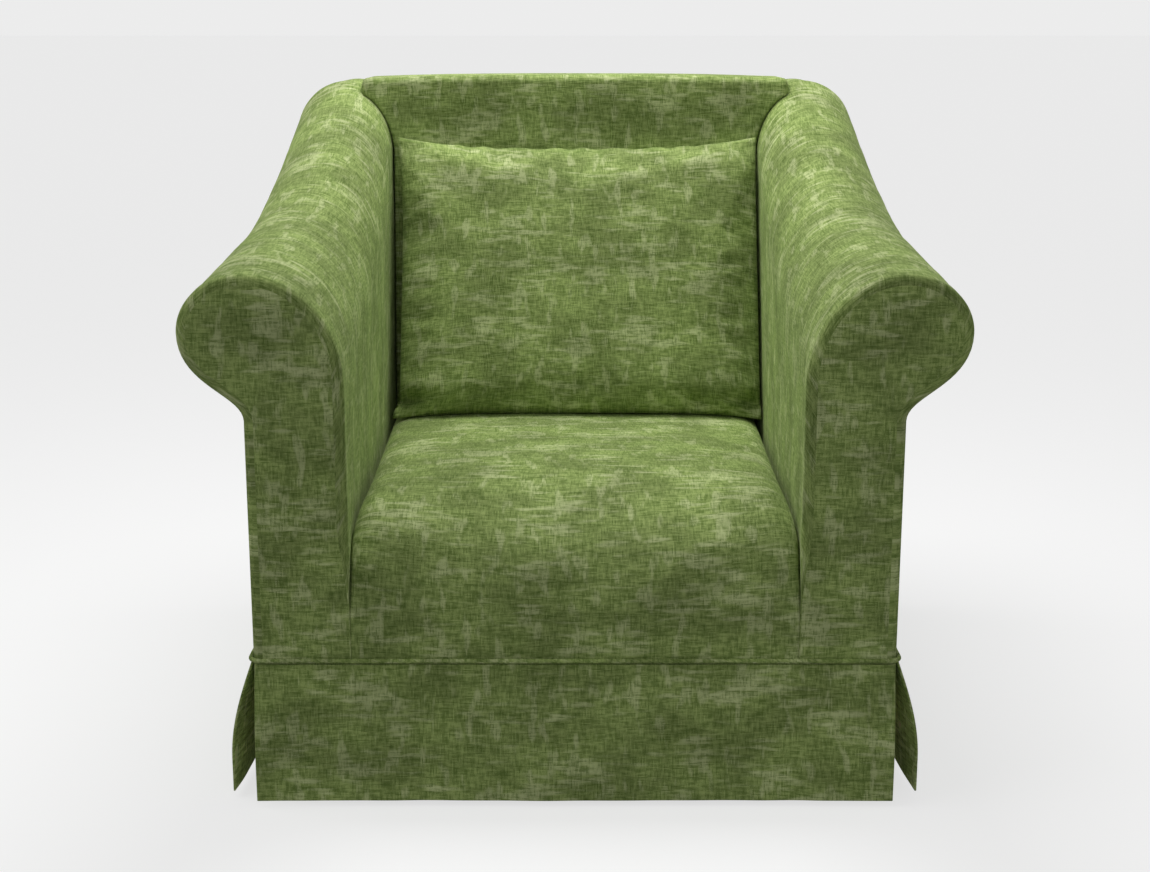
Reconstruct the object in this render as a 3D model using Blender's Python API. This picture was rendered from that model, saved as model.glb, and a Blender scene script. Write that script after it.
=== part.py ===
"""Skirted roll-arm armchair: hardwood frame, sinuous seat springs, padded shells, loose back cushion, skirt.

The front faces -Y and +Z is up. The origin is on the floor, under the middle of the bounding box.
Depths are counted from the arms' front faces, positive towards the back, and a "run" is a share of the
depth at one height: 0 at the front faces and 1 at the rear face, which leans back with the rake.
"""

import math

import bmesh
import bpy
from mathutils import Matrix, Vector

# Clearance between pieces that touch
FIT = 0.0003

# Body
SEAT_WIDTH = 0.580  # between the arms at the front
SEAT_FLARE = 0.010  # how far each arm's inner face moves out towards the back
ARM_THICKNESS = 0.128  # inner face to outer face at the foot
BACK_RAKE = math.radians(8)
BACK_HEIGHT = 0.912
BACK_TOP_OVERLAP = 0.052  # how far the top of the back reaches over each arm
BODY_BOTTOM = 0.142  # lower edge of the covers, behind the skirt

# Arm roll
ARM_HEIGHT = 0.696  # crest at the front
ARM_SLOPE_RISE = 0.094  # steady rise of the crest, before its sweep
REAR_CREST_DROP = 0.003  # the arm's rear crest, below the top of the back
CREST_END = 0.88  # run at which the crest reaches the height that it keeps to the rear
SCOOP_START = 0.40  # share of the way there at which the sweep starts
SCOOP_POWER = 1.57
ROLL_OVERHANG = 0.080  # beyond the arm's outer face, at the front
REAR_OVERHANG = 0.038
CREST_SETBACK = 0.006  # crest, in from the outer face, at the front
REAR_CREST_SETBACK = 0.047
INNER_ROUND = 0.140  # height of the curve from the inner face to the crest, at the front
REAR_INNER_ROUND = 0.095
OUTER_ROUND = 0.075  # height of the curve from the crest to the widest point, at the front
REAR_OUTER_ROUND = 0.085
ROLL_UNDERSIDE = 0.112  # height of the curve from the widest point back to the outer face
FACE_EDGE_RADIUS = 0.012  # around the arm's front face

# Padding
ARM_PAD = 0.028
OUTSIDE_ARM_PAD = 0.007
FRONT_PAD = 0.018
BACK_PAD = 0.072
BACK_CAP = 0.036  # over the top rail
BACK_EDGE_RADIUS = 0.034
BACK_REAR_RADIUS = 0.017
OUTSIDE_BACK = 0.005  # thickness of the outside back panel
OUTSIDE_BACK_SETBACK = 0.003  # its edge, in from the arm's outline

# Seat
SEAT_HEIGHT = 0.388  # at the arms
SEAT_CROWN = 0.026
REAR_CROWN_LOSS = 0.55  # share of the crown lost between the front and the inside back
SEAT_FRONT_DEPTH = 0.150  # how far back the rounded front edge reaches
SEAT_FRONT_FOOT = 0.255  # height at which that edge becomes upright
SEAT_FRONT_FULLNESS = 2.7  # exponent of the edge's curve: 2 is an ellipse
SEAT_DEPTH = 0.715  # front faces to the inside back, at the seat

# Frame
RAIL_THICKNESS = 0.028
RAIL_HEIGHT = 0.110
RAIL_SETUP = 0.002  # underside of the rails, below the covers' lower edge
BACK_RAIL_HEIGHT = 0.080
LOWER_BACK_RAIL = 0.330  # its underside
STRETCHER_HEIGHT = 0.040
STRETCHER_LIFT = 0.060  # above the side rail
ARM_RAIL_HEIGHT = 0.050
ARM_RAIL_DROP = 0.014  # below the padding under the crest
TIMBER_EDGE = 0.002  # bevel
POST_DEPTH = 0.073  # back posts, front to rear
POST_TOP_DROP = 0.020  # back post's top, below the padding under the crest there
BLOCK_LEG = 0.090
BLOCK_HEIGHT = 0.045
BLOCK_DROP = 0.040  # below the top of the rails

# Legs
LEG_TOP = 0.050
LEG_FOOT = 0.036
LEG_EDGE = 0.003  # bevel
LEG_INSET = 0.024  # beside the rails' outer faces
GLIDE_RADIUS = 0.013
GLIDE_HEIGHT = 0.006

# Springs
SPRING_COUNT = 4
SPRING_MARGIN = 0.0875  # from the outer springs' middles to the arms
SPRING_WIRE = 0.0042
SPRING_WIDTH = 0.056
SPRING_PITCH = 0.039  # from bar to bar
SPRING_ARCH = 0.014
CLIP_SIDE_GAP = 0.002  # from the clip to the spring's bends
CLIP_METAL = 0.0016
CLIP_TAIL = 0.012

# Back webbing
WEBBING_COUNT = 3
WEBBING_MARGIN = 0.140  # from the outer straps' middles to the arms
WEBBING_WIDTH = 0.060
WEBBING_THICKNESS = 0.0018

# Loose back cushion
CUSHION_SIDE_GAP = 0.006  # between its corners and the arms
CUSHION_HEIGHT = 0.473
CUSHION_FRONT_FILL = 0.034  # how far its front stands out from its seam
CUSHION_REAR_FILL = 0.155  # the same behind, where the seat and the inside back flatten it
CUSHION_SIDE_PINCH = 0.030  # how far its sides draw in between the corners
CUSHION_END_PINCH = 0.070  # the same at its top and bottom
CUSHION_LEAN = math.radians(24.5)
CUSHION_TOP_GAP = 0.014  # between the top seam and the inside back
CUSHION_SEAT_GAP = 0.0009  # above the seat's crown, so that their facets stay apart

# Skirt
WELT_HEIGHT = 0.194
WELT_RADIUS = 0.0036
SKIRT_THICKNESS = 0.003
SKIRT_SEAM_GAP = 0.0012  # under the welt
SKIRT_CLEARANCE = 0.008  # hem above the floor
SKIRT_FLARE = 0.014  # outwards at the hem, in the middle of a panel
SKIRT_CORNER_FLARE = 0.031
FRONT_CORNER_FLARE = 0.021
SKIRT_FLARE_END = 0.75  # share of the drop in which the flare happens
SKIRT_CORNER_GAP = 0.008  # between a side panel and the front face's plane
SKIRT_END_SETBACK = 0.003  # front panel's ends, in from the outer faces

DUST_COVER = 0.0012
DUST_COVER_NOTCH = 0.004  # around the legs

# Places worked out from the sizes above
SIDE_X = SEAT_WIDTH / 2 + ARM_THICKNESS
RAKE_SLOPE = math.tan(BACK_RAKE)
BACK_THICKNESS = BACK_PAD + WEBBING_THICKNESS + 2 * FIT + POST_DEPTH
BODY_DEPTH = SEAT_DEPTH + BACK_THICKNESS - (SEAT_HEIGHT - WELT_HEIGHT) * RAKE_SLOPE  # at the welt
FRAME_X = SIDE_X - OUTSIDE_ARM_PAD - FIT
RAIL_BOTTOM = BODY_BOTTOM - RAIL_SETUP
RAIL_TOP = RAIL_BOTTOM + RAIL_HEIGHT
DECK = RAIL_TOP + 2 * CLIP_METAL + SPRING_WIRE + 4 * FIT
FRONT_RAIL_DEPTH = FRONT_PAD + FIT
BEHIND_FRONT_RAIL = FRONT_RAIL_DEPTH + RAIL_THICKNESS + FIT
LEG_HEIGHT = RAIL_BOTTOM - FIT
CAP_BOTTOM = BACK_HEIGHT - BACK_CAP
TOP_RAIL_TOP = CAP_BOTTOM - FIT
REAR_CREST = BACK_HEIGHT - REAR_CREST_DROP
SCOOP_RISE = REAR_CREST - ARM_HEIGHT - ARM_SLOPE_RISE  # beyond the steady rise
REAR_REACH = BODY_DEPTH + (REAR_CREST - OUTSIDE_BACK_SETBACK - WELT_HEIGHT) * RAKE_SLOPE + FIT + OUTSIDE_BACK
FRONT_REACH = FRONT_CORNER_FLARE + SKIRT_THICKNESS + FIT
FRONT_Y = (FRONT_REACH - REAR_REACH) / 2

# Mesh resolution
ARC_STEPS = 7
FACE_EDGE_STEPS = 3
ARM_RUNS = (0.08, 0.18, 0.30, 0.42, 0.53, 0.63, 0.72, 0.80, CREST_END, 1.0)
OVERSHOOT = 0.02  # how far a cutter passes the wall that it cuts

FINISHES = {
    "upholstery": ((0.115, 0.165, 0.045, 1), 0.9, 0.0),
    "hardwood": ((0.55, 0.38, 0.21, 1), 0.6, 0.0),
    "spring_steel": ((0.35, 0.35, 0.36, 1), 0.4, 1.0),
    "webbing": ((0.30, 0.27, 0.22, 1), 0.9, 0.0),
    "cambric": ((0.03, 0.03, 0.03, 1), 0.9, 0.0),
    "nylon": ((0.75, 0.74, 0.70, 1), 0.5, 0.0),
}


def clear_scene():
    for obj in list(bpy.data.objects):
        bpy.data.objects.remove(obj)


def material(name, finish):
    """A piece's own material in one of the finishes."""
    colour, roughness, metallic = FINISHES[finish]
    made = bpy.data.materials.new(name + "_" + finish)
    made.use_nodes = True
    shader = made.node_tree.nodes["Principled BSDF"]
    shader.inputs["Base Color"].default_value = colour
    shader.inputs["Roughness"].default_value = roughness
    shader.inputs["Metallic"].default_value = metallic
    return made


def add_object(name, shape, finish, smooth=None):
    """An object from a bmesh in the chair's place, with its own origin at its middle.

    Edges that turn by more than smooth, in degrees, stay sharp; without smooth all of them do.
    """
    bmesh.ops.recalc_face_normals(shape, faces=shape.faces)
    if shape.calc_volume(signed=True) < 0:
        bmesh.ops.reverse_faces(shape, faces=shape.faces)
    return add_shape(name, shape, finish, smooth)


def add_shape(name, shape, finish, smooth=None):
    middle = sum((v.co for v in shape.verts), Vector()) / len(shape.verts)
    bmesh.ops.translate(shape, verts=shape.verts, vec=-middle)
    mesh = bpy.data.meshes.new(name)
    shape.to_mesh(mesh)
    shape.free()
    obj = bpy.data.objects.new(name, mesh)
    obj.location = middle
    obj["finish"] = finish
    bpy.context.scene.collection.objects.link(obj)
    mesh.materials.append(material(name, finish))
    if smooth is not None:
        mesh.shade_smooth()
        mesh.set_sharp_from_angle(angle=math.radians(smooth))
    return obj


def as_cutter(obj):
    obj.hide_render = True
    obj.display_type = "WIRE"
    return obj


def cut(obj, cutter):
    modifier = obj.modifiers.new("Cut by " + cutter.name, "BOOLEAN")
    modifier.operation = "DIFFERENCE"
    modifier.solver = "EXACT"
    modifier.object = cutter


def soften(obj, width):
    """A small bevel on every edge, as sawn and sanded timber has."""
    modifier = obj.modifiers.new("Eased edges", "BEVEL")
    modifier.width = width
    modifier.segments = 1
    modifier.limit_method = "ANGLE"
    modifier.angle_limit = math.radians(40)
    return obj


def mix(first, second, share):
    return first + (second - first) * share


def smooth_step(low, high, value):
    share = min(1.0, max(0.0, (value - low) / (high - low)))
    return share * share * (3 - 2 * share)


def back_face(z):
    """Depth of the inside back's face at a height."""
    return SEAT_DEPTH + (z - SEAT_HEIGHT) * RAKE_SLOPE


def rear_depth(z):
    """Depth of the leaning rear face at a height."""
    return back_face(z) + BACK_THICKNESS


def place(x, depth, z):
    return Vector((x, FRONT_Y + depth, z))


def inner_x(run):
    return SEAT_WIDTH / 2 + SEAT_FLARE * run


def seat_half_width(depth, z):
    return inner_x(min(1.0, max(0.0, depth / rear_depth(z))))


def crest_height(run):
    along = min(1.0, run / CREST_END)
    sweep = max(0.0, (along - SCOOP_START) / (1 - SCOOP_START)) ** SCOOP_POWER
    return ARM_HEIGHT + ARM_SLOPE_RISE * along + SCOOP_RISE * sweep


def bezier(start, first, second, end, steps):
    """Points along a cubic curve, without its first point."""
    found = []
    for step in range(1, steps + 1):
        t = step / steps
        weights = ((1 - t) ** 3, 3 * (1 - t) ** 2 * t, 3 * (1 - t) * t * t, t**3)
        corners = (start, first, second, end)
        found.append(tuple(sum(w * c[axis] for w, c in zip(weights, corners)) for axis in (0, 1)))
    return found


def arm_outline(run):
    """The right arm in section: (x, z) from the inner foot, over the roll, to the outer foot."""
    crest_z = crest_height(run)
    crest_x = SIDE_X - mix(CREST_SETBACK, REAR_CREST_SETBACK, run)
    in_x = inner_x(run)
    out_x = SIDE_X + mix(ROLL_OVERHANG, REAR_OVERHANG, run)
    inner_round = mix(INNER_ROUND, REAR_INNER_ROUND, run)
    outer_round = mix(OUTER_ROUND, REAR_OUTER_ROUND, run)
    widest_z = crest_z - outer_round
    neck_z = widest_z - ROLL_UNDERSIDE
    points = [(in_x, BODY_BOTTOM), (in_x, SEAT_FRONT_FOOT), (in_x, SEAT_HEIGHT)]
    for step in range(ARC_STEPS):
        angle = math.pi / 2 * step / ARC_STEPS
        x = crest_x - (crest_x - in_x) * math.cos(angle)
        points.append((x, crest_z - inner_round * (1 - math.sin(angle))))
    for step in range(ARC_STEPS + 1):
        angle = math.pi / 2 * step / ARC_STEPS
        x = crest_x + (out_x - crest_x) * math.sin(angle)
        points.append((x, crest_z - outer_round * (1 - math.cos(angle))))
    pull_out = (out_x, widest_z - 0.6 * ROLL_UNDERSIDE)
    pull_in = (SIDE_X, neck_z + 0.3 * ROLL_UNDERSIDE)
    points += bezier((out_x, widest_z), pull_out, pull_in, (SIDE_X, neck_z), ARC_STEPS)
    points.append((SIDE_X, BODY_BOTTOM))
    return points


def inset(points, amounts):
    """The outline moved towards its inside by one amount for each point."""
    moved = []
    last = len(points) - 1
    for index, (x, z) in enumerate(points):
        before = points[max(0, index - 1)]
        after = points[min(last, index + 1)]
        along = Vector((after[0] - before[0], after[1] - before[1])).normalized()
        moved.append((x + along.y * amounts[index], z - along.x * amounts[index]))
    return moved


def padding_of(points):
    """Padding behind each point of an arm's outline: full on the inside and the roll, thin outside."""
    amounts = []
    widest = max(range(len(points)), key=lambda index: points[index][0])
    for index, point in enumerate(points):
        beyond = smooth_step(widest, widest + ARC_STEPS, index)
        amounts.append(mix(ARM_PAD, OUTSIDE_ARM_PAD, beyond))
    return amounts


def ring(points, run, extra_depth=0.0):
    """An arm outline placed in the chair at a run."""
    return [place(x, run * rear_depth(z) + extra_depth, z) for x, z in points]


def loft(name, rings, finish, smooth=None):
    """A closed solid through rings of equal length, with flat ends.

    Its sides are triangles, so that two lofts through like rings run parallel.
    """
    shape = bmesh.new()
    loops = [[shape.verts.new(point) for point in one] for one in rings]
    for low, high in zip(loops, loops[1:]):
        for index, corner in enumerate(low):
            after = (index + 1) % len(low)
            shape.faces.new((corner, low[after], high[after]))
            shape.faces.new((corner, high[after], high[index]))
    shape.faces.new(loops[0])
    shape.faces.new(loops[-1])
    return add_object(name, shape, finish, smooth)


def slab(name, outline, thickness, finish):
    """A flat outline drawn out by a vector."""
    shape = bmesh.new()
    face = shape.faces.new([shape.verts.new(point) for point in outline])
    drawn = bmesh.ops.extrude_face_region(shape, geom=[face])
    far_side = [part for part in drawn["geom"] if isinstance(part, bmesh.types.BMVert)]
    bmesh.ops.translate(shape, verts=far_side, vec=thickness)
    return add_object(name, shape, finish)


def extrude_x(name, profile, low_x, high_x, finish):
    """A (depth, z) profile drawn out across the chair."""
    outline = [place(low_x, depth, z) for depth, z in profile]
    return slab(name, outline, Vector((high_x - low_x, 0, 0)), finish)


def block(name, low, high, finish):
    """A rectangular piece between two corners given as (x, depth, z)."""
    profile = [(low[1], low[2]), (high[1], low[2]), (high[1], high[2]), (low[1], high[2])]
    return extrude_x(name, profile, low[0], high[0], finish)


def mirrored(obj, name):
    """A copy on the other side of the chair, with its cutters mirrored too."""
    copy = obj.copy()
    copy.name = name
    copy.data = obj.data.copy()
    copy.data.name = name
    copy.data.transform(Matrix.Scale(-1, 4, (1, 0, 0)))
    copy.data.flip_normals()
    copy.location.x = -obj.location.x
    copy.data.materials[0] = material(name, obj["finish"])
    bpy.context.scene.collection.objects.link(copy)
    for modifier in copy.modifiers:
        if modifier.type == "BOOLEAN":
            modifier.object = as_cutter(mirrored(modifier.object, "left_" + modifier.object.name))
    return copy


def arm_face_rings(grow):
    """Rings around the rounded edge of the arm's front face, grown outwards by a clearance."""
    rings = []
    outline = arm_outline(0)
    for step in range(FACE_EDGE_STEPS + 1):
        angle = math.pi / 2 * (1 - step / FACE_EDGE_STEPS)
        amounts = []
        for index, (_, z) in enumerate(outline):
            beside_seat = index < len(outline) / 2 and z <= SEAT_HEIGHT
            edge = smooth_step(SEAT_FRONT_FOOT, SEAT_HEIGHT, z) if beside_seat else 1.0
            amounts.append(edge * FACE_EDGE_RADIUS * (1 - math.cos(angle)) - grow)
        depth = FACE_EDGE_RADIUS * (1 - math.sin(angle)) - grow
        rings.append(ring(inset(outline, amounts), 0, depth))
    return rings


def grown_outline(run, grow):
    outline = arm_outline(run)
    return inset(outline, [-grow] * len(outline))


def arm_envelope(name, grow=0.0, overshoot=0.0):
    """The arm's outer shape as one solid."""
    rings = arm_face_rings(grow) + [ring(grown_outline(run, grow), run) for run in ARM_RUNS]
    if overshoot:
        rings.append(ring(grown_outline(1, grow), 1, overshoot))
    return loft(name, rings, "upholstery", smooth=40)


def hollow_outline(run):
    """The outline inside the arm's padding, with both feet carried down past the covers' lower edge."""
    outline = arm_outline(run)
    points = inset(outline, padding_of(outline))
    below = BODY_BOTTOM - OVERSHOOT
    return [(points[0][0], below)] + points[1:-1] + [(points[-1][0], below)]


def arm_hollow():
    """The space inside the arm, open below and behind."""
    rings = [ring(hollow_outline(0), 0, FRONT_PAD)]
    rings += [ring(hollow_outline(run), run) for run in ARM_RUNS]
    rings.append(ring(hollow_outline(1), 1, OVERSHOOT))
    return as_cutter(loft("arm_hollow", rings, "upholstery"))


def rail_way():
    """Where the seat rails and the springs' deck pass under the inside arm."""
    low = (SEAT_WIDTH / 2 - OVERSHOOT, FRONT_PAD + FIT / 2, BODY_BOTTOM - OVERSHOOT)
    high = (SIDE_X - ARM_THICKNESS / 2, BODY_DEPTH + 2 * OVERSHOOT, DECK)
    return as_cutter(block("rail_way", low, high, "upholstery"))


def back_way():
    """Where the back's rails pass through the inside arm, behind the back's padding."""
    low, high = BODY_BOTTOM - OVERSHOOT, TOP_RAIL_TOP + FIT
    profile = [
        (post_face(low) - WEBBING_THICKNESS - 2 * FIT, low),
        (rear_depth(low) + OVERSHOOT, low),
        (rear_depth(high) + OVERSHOOT, high),
        (post_face(high) - WEBBING_THICKNESS - 2 * FIT, high),
    ]
    inner, outer = SEAT_WIDTH / 2 - OVERSHOOT, FRAME_X - RAIL_THICKNESS
    return as_cutter(extrude_x("back_way", profile, inner, outer, "upholstery"))


def build_arms():
    arm = arm_envelope("right_arm_upholstery")
    for cutter in (rail_way(), back_way(), arm_hollow()):
        cut(arm, cutter)
    mirrored(arm, "left_arm_upholstery")


def seat_top(x, depth):
    """Height of the seat, crowned between the arms and rounded over at the front."""
    across = min(1.0, abs(x) / (SEAT_WIDTH / 2))
    flat = SEAT_HEIGHT + SEAT_CROWN * (1 - across**2.4) * (1 - REAR_CROWN_LOSS * depth / SEAT_DEPTH)
    if depth >= SEAT_FRONT_DEPTH:
        return flat
    away = (SEAT_FRONT_DEPTH - max(0.0, depth)) / SEAT_FRONT_DEPTH
    rise = (1 - away**SEAT_FRONT_FULLNESS) ** (1 / SEAT_FRONT_FULLNESS)
    return SEAT_FRONT_FOOT + (flat - SEAT_FRONT_FOOT) * rise


def seat_profile(across):
    """The seat's section at one place across it, with the border that hangs over the front rail."""
    x = across * SEAT_WIDTH / 2
    profile = [(0.0, BODY_BOTTOM), (0.0, SEAT_FRONT_FOOT)]
    front_steps, rear_steps, under_steps = 8, 6, 8
    for step in range(1, front_steps + 1):
        depth = SEAT_FRONT_DEPTH * (1 - math.cos(math.pi / 2 * step / front_steps))
        profile.append((depth, seat_top(x, depth)))
    rear = back_face(seat_top(x, SEAT_DEPTH)) - FIT
    for step in range(1, rear_steps + 1):
        depth = mix(SEAT_FRONT_DEPTH, rear, step / rear_steps)
        profile.append((depth, seat_top(x, depth)))
    rear = back_face(DECK) - FIT
    for step in range(under_steps):
        depth = mix(rear, FRONT_PAD, step / under_steps)
        profile.append((depth, DECK + spring_rise(depth)))
    profile.append((FRONT_PAD, DECK))
    profile.append((FRONT_PAD, BODY_BOTTOM))
    return profile


def build_seat():
    stations = 12
    rings = []
    for step in range(stations + 1):
        across = math.sin(math.pi / 2 * (2 * step / stations - 1))
        profile = seat_profile(across)
        rings.append([place(across * (seat_half_width(d, z) - FIT), d, z) for d, z in profile])
    loft("seat_upholstery", rings, "upholstery", smooth=35)


def arc(centre, radius, start, end, steps):
    """Points on a circle between two angles in degrees, both ends included."""
    found = []
    for step in range(steps + 1):
        angle = math.radians(mix(start, end, step / steps))
        found.append((centre[0] + radius * math.cos(angle), centre[1] + radius * math.sin(angle)))
    return found


def build_back():
    """The padded inside back with the cap that turns over the top rail."""
    radius, rear_radius = BACK_EDGE_RADIUS, BACK_REAR_RADIUS
    foot = DECK + SPRING_ARCH
    front_z, rear_z = BACK_HEIGHT - radius, BACK_HEIGHT - rear_radius
    profile = [(back_face(foot), foot)]
    profile += arc((back_face(front_z) + radius, front_z), radius, 180, 90, 5)
    profile += arc((rear_depth(rear_z) - rear_radius, rear_z), rear_radius, 90, 0, 3)
    profile += [(rear_depth(CAP_BOTTOM), CAP_BOTTOM), (back_face(CAP_BOTTOM) + BACK_PAD, CAP_BOTTOM)]
    profile.append((back_face(foot) + BACK_PAD, foot))
    half = inner_x(1) + BACK_TOP_OVERLAP
    back = extrude_x("inside_back_upholstery", profile, -half, half, "upholstery")
    beside = as_cutter(arm_envelope("beside_right_arm", FIT, OVERSHOOT))
    cut(back, beside)
    cut(back, as_cutter(mirrored(beside, "beside_left_arm")))


def build_outside_back():
    """The panel that closes the rear, cut to the arms' outline and straight across between the crests."""
    outline = arm_outline(1)
    shrunk = inset(outline, [OUTSIDE_BACK_SETBACK] * len(outline))
    crest = max(range(len(shrunk)), key=lambda index: shrunk[index][1])
    right = shrunk[crest:]
    outline = right + [(-x, z) for x, z in reversed(right)]
    points = [place(x, rear_depth(z) + FIT, z) for x, z in outline]
    slab("outside_back_panel", points, Vector((0, OUTSIDE_BACK, 0)), "upholstery")


def post_face(z):
    """Depth of the back posts' front face, which the webbing lies on."""
    return back_face(z) + BACK_PAD + WEBBING_THICKNESS + 2 * FIT


def rear_rail_face():
    """Depth of the rear seat rail's front face."""
    return rear_depth(RAIL_BOTTOM) - RAIL_THICKNESS


def post_inner_x():
    return SEAT_WIDTH / 2 + ARM_PAD + FIT


def build_seat_rails():
    front_half = post_inner_x() - FIT
    front_low = (-front_half, FRONT_RAIL_DEPTH, RAIL_BOTTOM)
    front_high = (front_half, FRONT_RAIL_DEPTH + RAIL_THICKNESS, RAIL_TOP)
    rear_half = FRAME_X - RAIL_THICKNESS - FIT
    rear_low = (-rear_half, rear_rail_face(), RAIL_BOTTOM)
    rear_high = (rear_half, rear_rail_face() + RAIL_THICKNESS, RAIL_TOP)
    side_low = (FRAME_X - RAIL_THICKNESS, BEHIND_FRONT_RAIL, RAIL_BOTTOM)
    side_high = (FRAME_X, post_face(RAIL_TOP) - FIT, RAIL_TOP)
    soften(block("front_seat_rail", front_low, front_high, "hardwood"), TIMBER_EDGE)
    soften(block("rear_seat_rail", rear_low, rear_high, "hardwood"), TIMBER_EDGE)
    side = soften(block("right_seat_rail", side_low, side_high, "hardwood"), TIMBER_EDGE)
    mirrored(side, "left_seat_rail")


def hollow_slice(depth):
    """The outline of the arm's hollow at a depth near its front."""
    found = []
    run = ARM_RUNS[0]
    for near, far in zip(hollow_outline(0), hollow_outline(run)):
        share = (depth - FRONT_PAD) / (run * rear_depth(far[1]) - FRONT_PAD)
        found.append((mix(near[0], far[0], share), mix(near[1], far[1], share)))
    return found


def build_front_posts():
    """The scroll-topped board behind each arm's front face, sawn to the hollow's outline."""
    rings = []
    for depth in (FRONT_RAIL_DEPTH, FRONT_RAIL_DEPTH + RAIL_THICKNESS):
        outline = hollow_slice(depth)
        board = inset(outline, [FIT] * len(outline))
        board = [(board[0][0], RAIL_BOTTOM)] + board[1:-1] + [(board[-1][0], RAIL_BOTTOM)]
        rings.append([place(x, depth, z) for x, z in board])
    mirrored(loft("right_front_post", rings, "hardwood"), "left_front_post")


def build_back_posts():
    """Sawn posts, upright at the seat rails and then leaning back with the rake."""
    run = post_face(REAR_CREST) / rear_depth(REAR_CREST)
    top = crest_height(run) - ARM_PAD - POST_TOP_DROP
    profile = [
        (post_face(RAIL_TOP), RAIL_BOTTOM),
        (rear_depth(RAIL_BOTTOM), RAIL_BOTTOM),
        (rear_depth(top), top),
        (post_face(top), top),
        (post_face(RAIL_TOP), RAIL_TOP),
    ]
    post = extrude_x("right_back_post", profile, FRAME_X - RAIL_THICKNESS, FRAME_X, "hardwood")
    mirrored(soften(post, TIMBER_EDGE), "left_back_post")


def build_back_rails():
    """The two rails that join the back posts and carry the webbing."""
    half = FRAME_X - RAIL_THICKNESS - FIT
    upper = TOP_RAIL_TOP - BACK_RAIL_HEIGHT
    for name, low in (("lower_back_rail", LOWER_BACK_RAIL), ("top_back_rail", upper)):
        high = low + BACK_RAIL_HEIGHT
        profile = [
            (post_face(low), low),
            (post_face(low) + RAIL_THICKNESS, low),
            (post_face(high) + RAIL_THICKNESS, high),
            (post_face(high), high),
        ]
        soften(extrude_x(name, profile, -half, half, "hardwood"), TIMBER_EDGE)


def build_arm_rails():
    """The sawn rail under each roll, which follows the crest from the front post to the back post."""
    steps = 10
    drop = ARM_PAD + ARM_RAIL_DROP
    guess = crest_height(SEAT_DEPTH / BODY_DEPTH) - drop
    end = post_face(guess) - FIT
    top = []
    for step in range(steps + 1):
        depth = mix(BEHIND_FRONT_RAIL, end, step / steps)
        top.append((depth, crest_height(depth / rear_depth(guess)) - drop))
    top[-1] = (post_face(top[-1][1]) - FIT, top[-1][1])
    bottom = [(depth, z - ARM_RAIL_HEIGHT) for depth, z in top]
    bottom[-1] = (post_face(bottom[-1][1]) - FIT, bottom[-1][1])
    profile = top + bottom[::-1]
    rail = extrude_x("right_arm_rail", profile, FRAME_X - RAIL_THICKNESS, FRAME_X, "hardwood")
    mirrored(rail, "left_arm_rail")


def build_stretchers():
    """The lower arm rail, which the inside arm is tacked to above the deck."""
    low = RAIL_TOP + STRETCHER_LIFT
    high = low + STRETCHER_HEIGHT
    profile = [
        (BEHIND_FRONT_RAIL, low),
        (post_face(low) - FIT, low),
        (post_face(high) - FIT, high),
        (BEHIND_FRONT_RAIL, high),
    ]
    rail = extrude_x("right_arm_stretcher", profile, FRAME_X - RAIL_THICKNESS, FRAME_X, "hardwood")
    mirrored(soften(rail, TIMBER_EDGE), "left_arm_stretcher")


def build_corner_blocks():
    """Glued blocks in the four corners of the seat rails."""
    side = FRAME_X - RAIL_THICKNESS - FIT
    low = RAIL_TOP - BLOCK_DROP - BLOCK_HEIGHT
    for name, corner, way in (("front", BEHIND_FRONT_RAIL, 1), ("rear", rear_rail_face() - FIT, -1)):
        corners = [(side, corner), (side - BLOCK_LEG, corner), (side, corner + way * BLOCK_LEG)]
        outline = [place(x, depth, low) for x, depth in corners]
        right = slab("right_" + name + "_corner_block", outline, Vector((0, 0, BLOCK_HEIGHT)), "hardwood")
        mirrored(right, "left_" + name + "_corner_block")


def build_leg(name, x, depth):
    """A tapered square leg under the rails, on a round nylon glide."""
    height = LEG_HEIGHT - GLIDE_HEIGHT - FIT
    shape = bmesh.new()
    diagonal = math.sqrt(0.5)
    foot, top = LEG_FOOT * diagonal, LEG_TOP * diagonal
    bmesh.ops.create_cone(shape, cap_ends=True, segments=4, radius1=foot, radius2=top, depth=height)
    bmesh.ops.rotate(shape, verts=shape.verts, matrix=Matrix.Rotation(math.radians(45), 3, "Z"))
    bmesh.ops.translate(shape, verts=shape.verts, vec=place(x, depth, LEG_HEIGHT - height / 2))
    leg = soften(add_object("right_" + name + "_leg", shape, "hardwood"), LEG_EDGE)
    mirrored(leg, "left_" + name + "_leg")
    shape = bmesh.new()
    radii = {"radius1": GLIDE_RADIUS, "radius2": GLIDE_RADIUS}
    bmesh.ops.create_cone(shape, cap_ends=True, segments=24, depth=GLIDE_HEIGHT, **radii)
    bmesh.ops.translate(shape, verts=shape.verts, vec=place(x, depth, GLIDE_HEIGHT / 2))
    glide = add_object("right_" + name + "_glide", shape, "nylon", smooth=40)
    mirrored(glide, "left_" + name + "_glide")


def build_legs():
    x = FRAME_X - LEG_INSET - LEG_TOP / 2
    build_leg("front", x, FRONT_RAIL_DEPTH + LEG_INSET + LEG_TOP / 2)
    build_leg("rear", x, rear_rail_face() + RAIL_THICKNESS - LEG_INSET - LEG_TOP / 2)


def spring_ends():
    """Depths of a spring's end bars, in the middle of the rails."""
    return FRONT_RAIL_DEPTH + RAIL_THICKNESS / 2, rear_rail_face() + RAIL_THICKNESS / 2


def spring_rise(depth):
    """How far the arched springs lift above their clips at a depth."""
    start, end = spring_ends()
    along = min(1.0, max(0.0, (depth - start) / (end - start)))
    return SPRING_ARCH * math.sin(math.pi * along)


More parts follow.
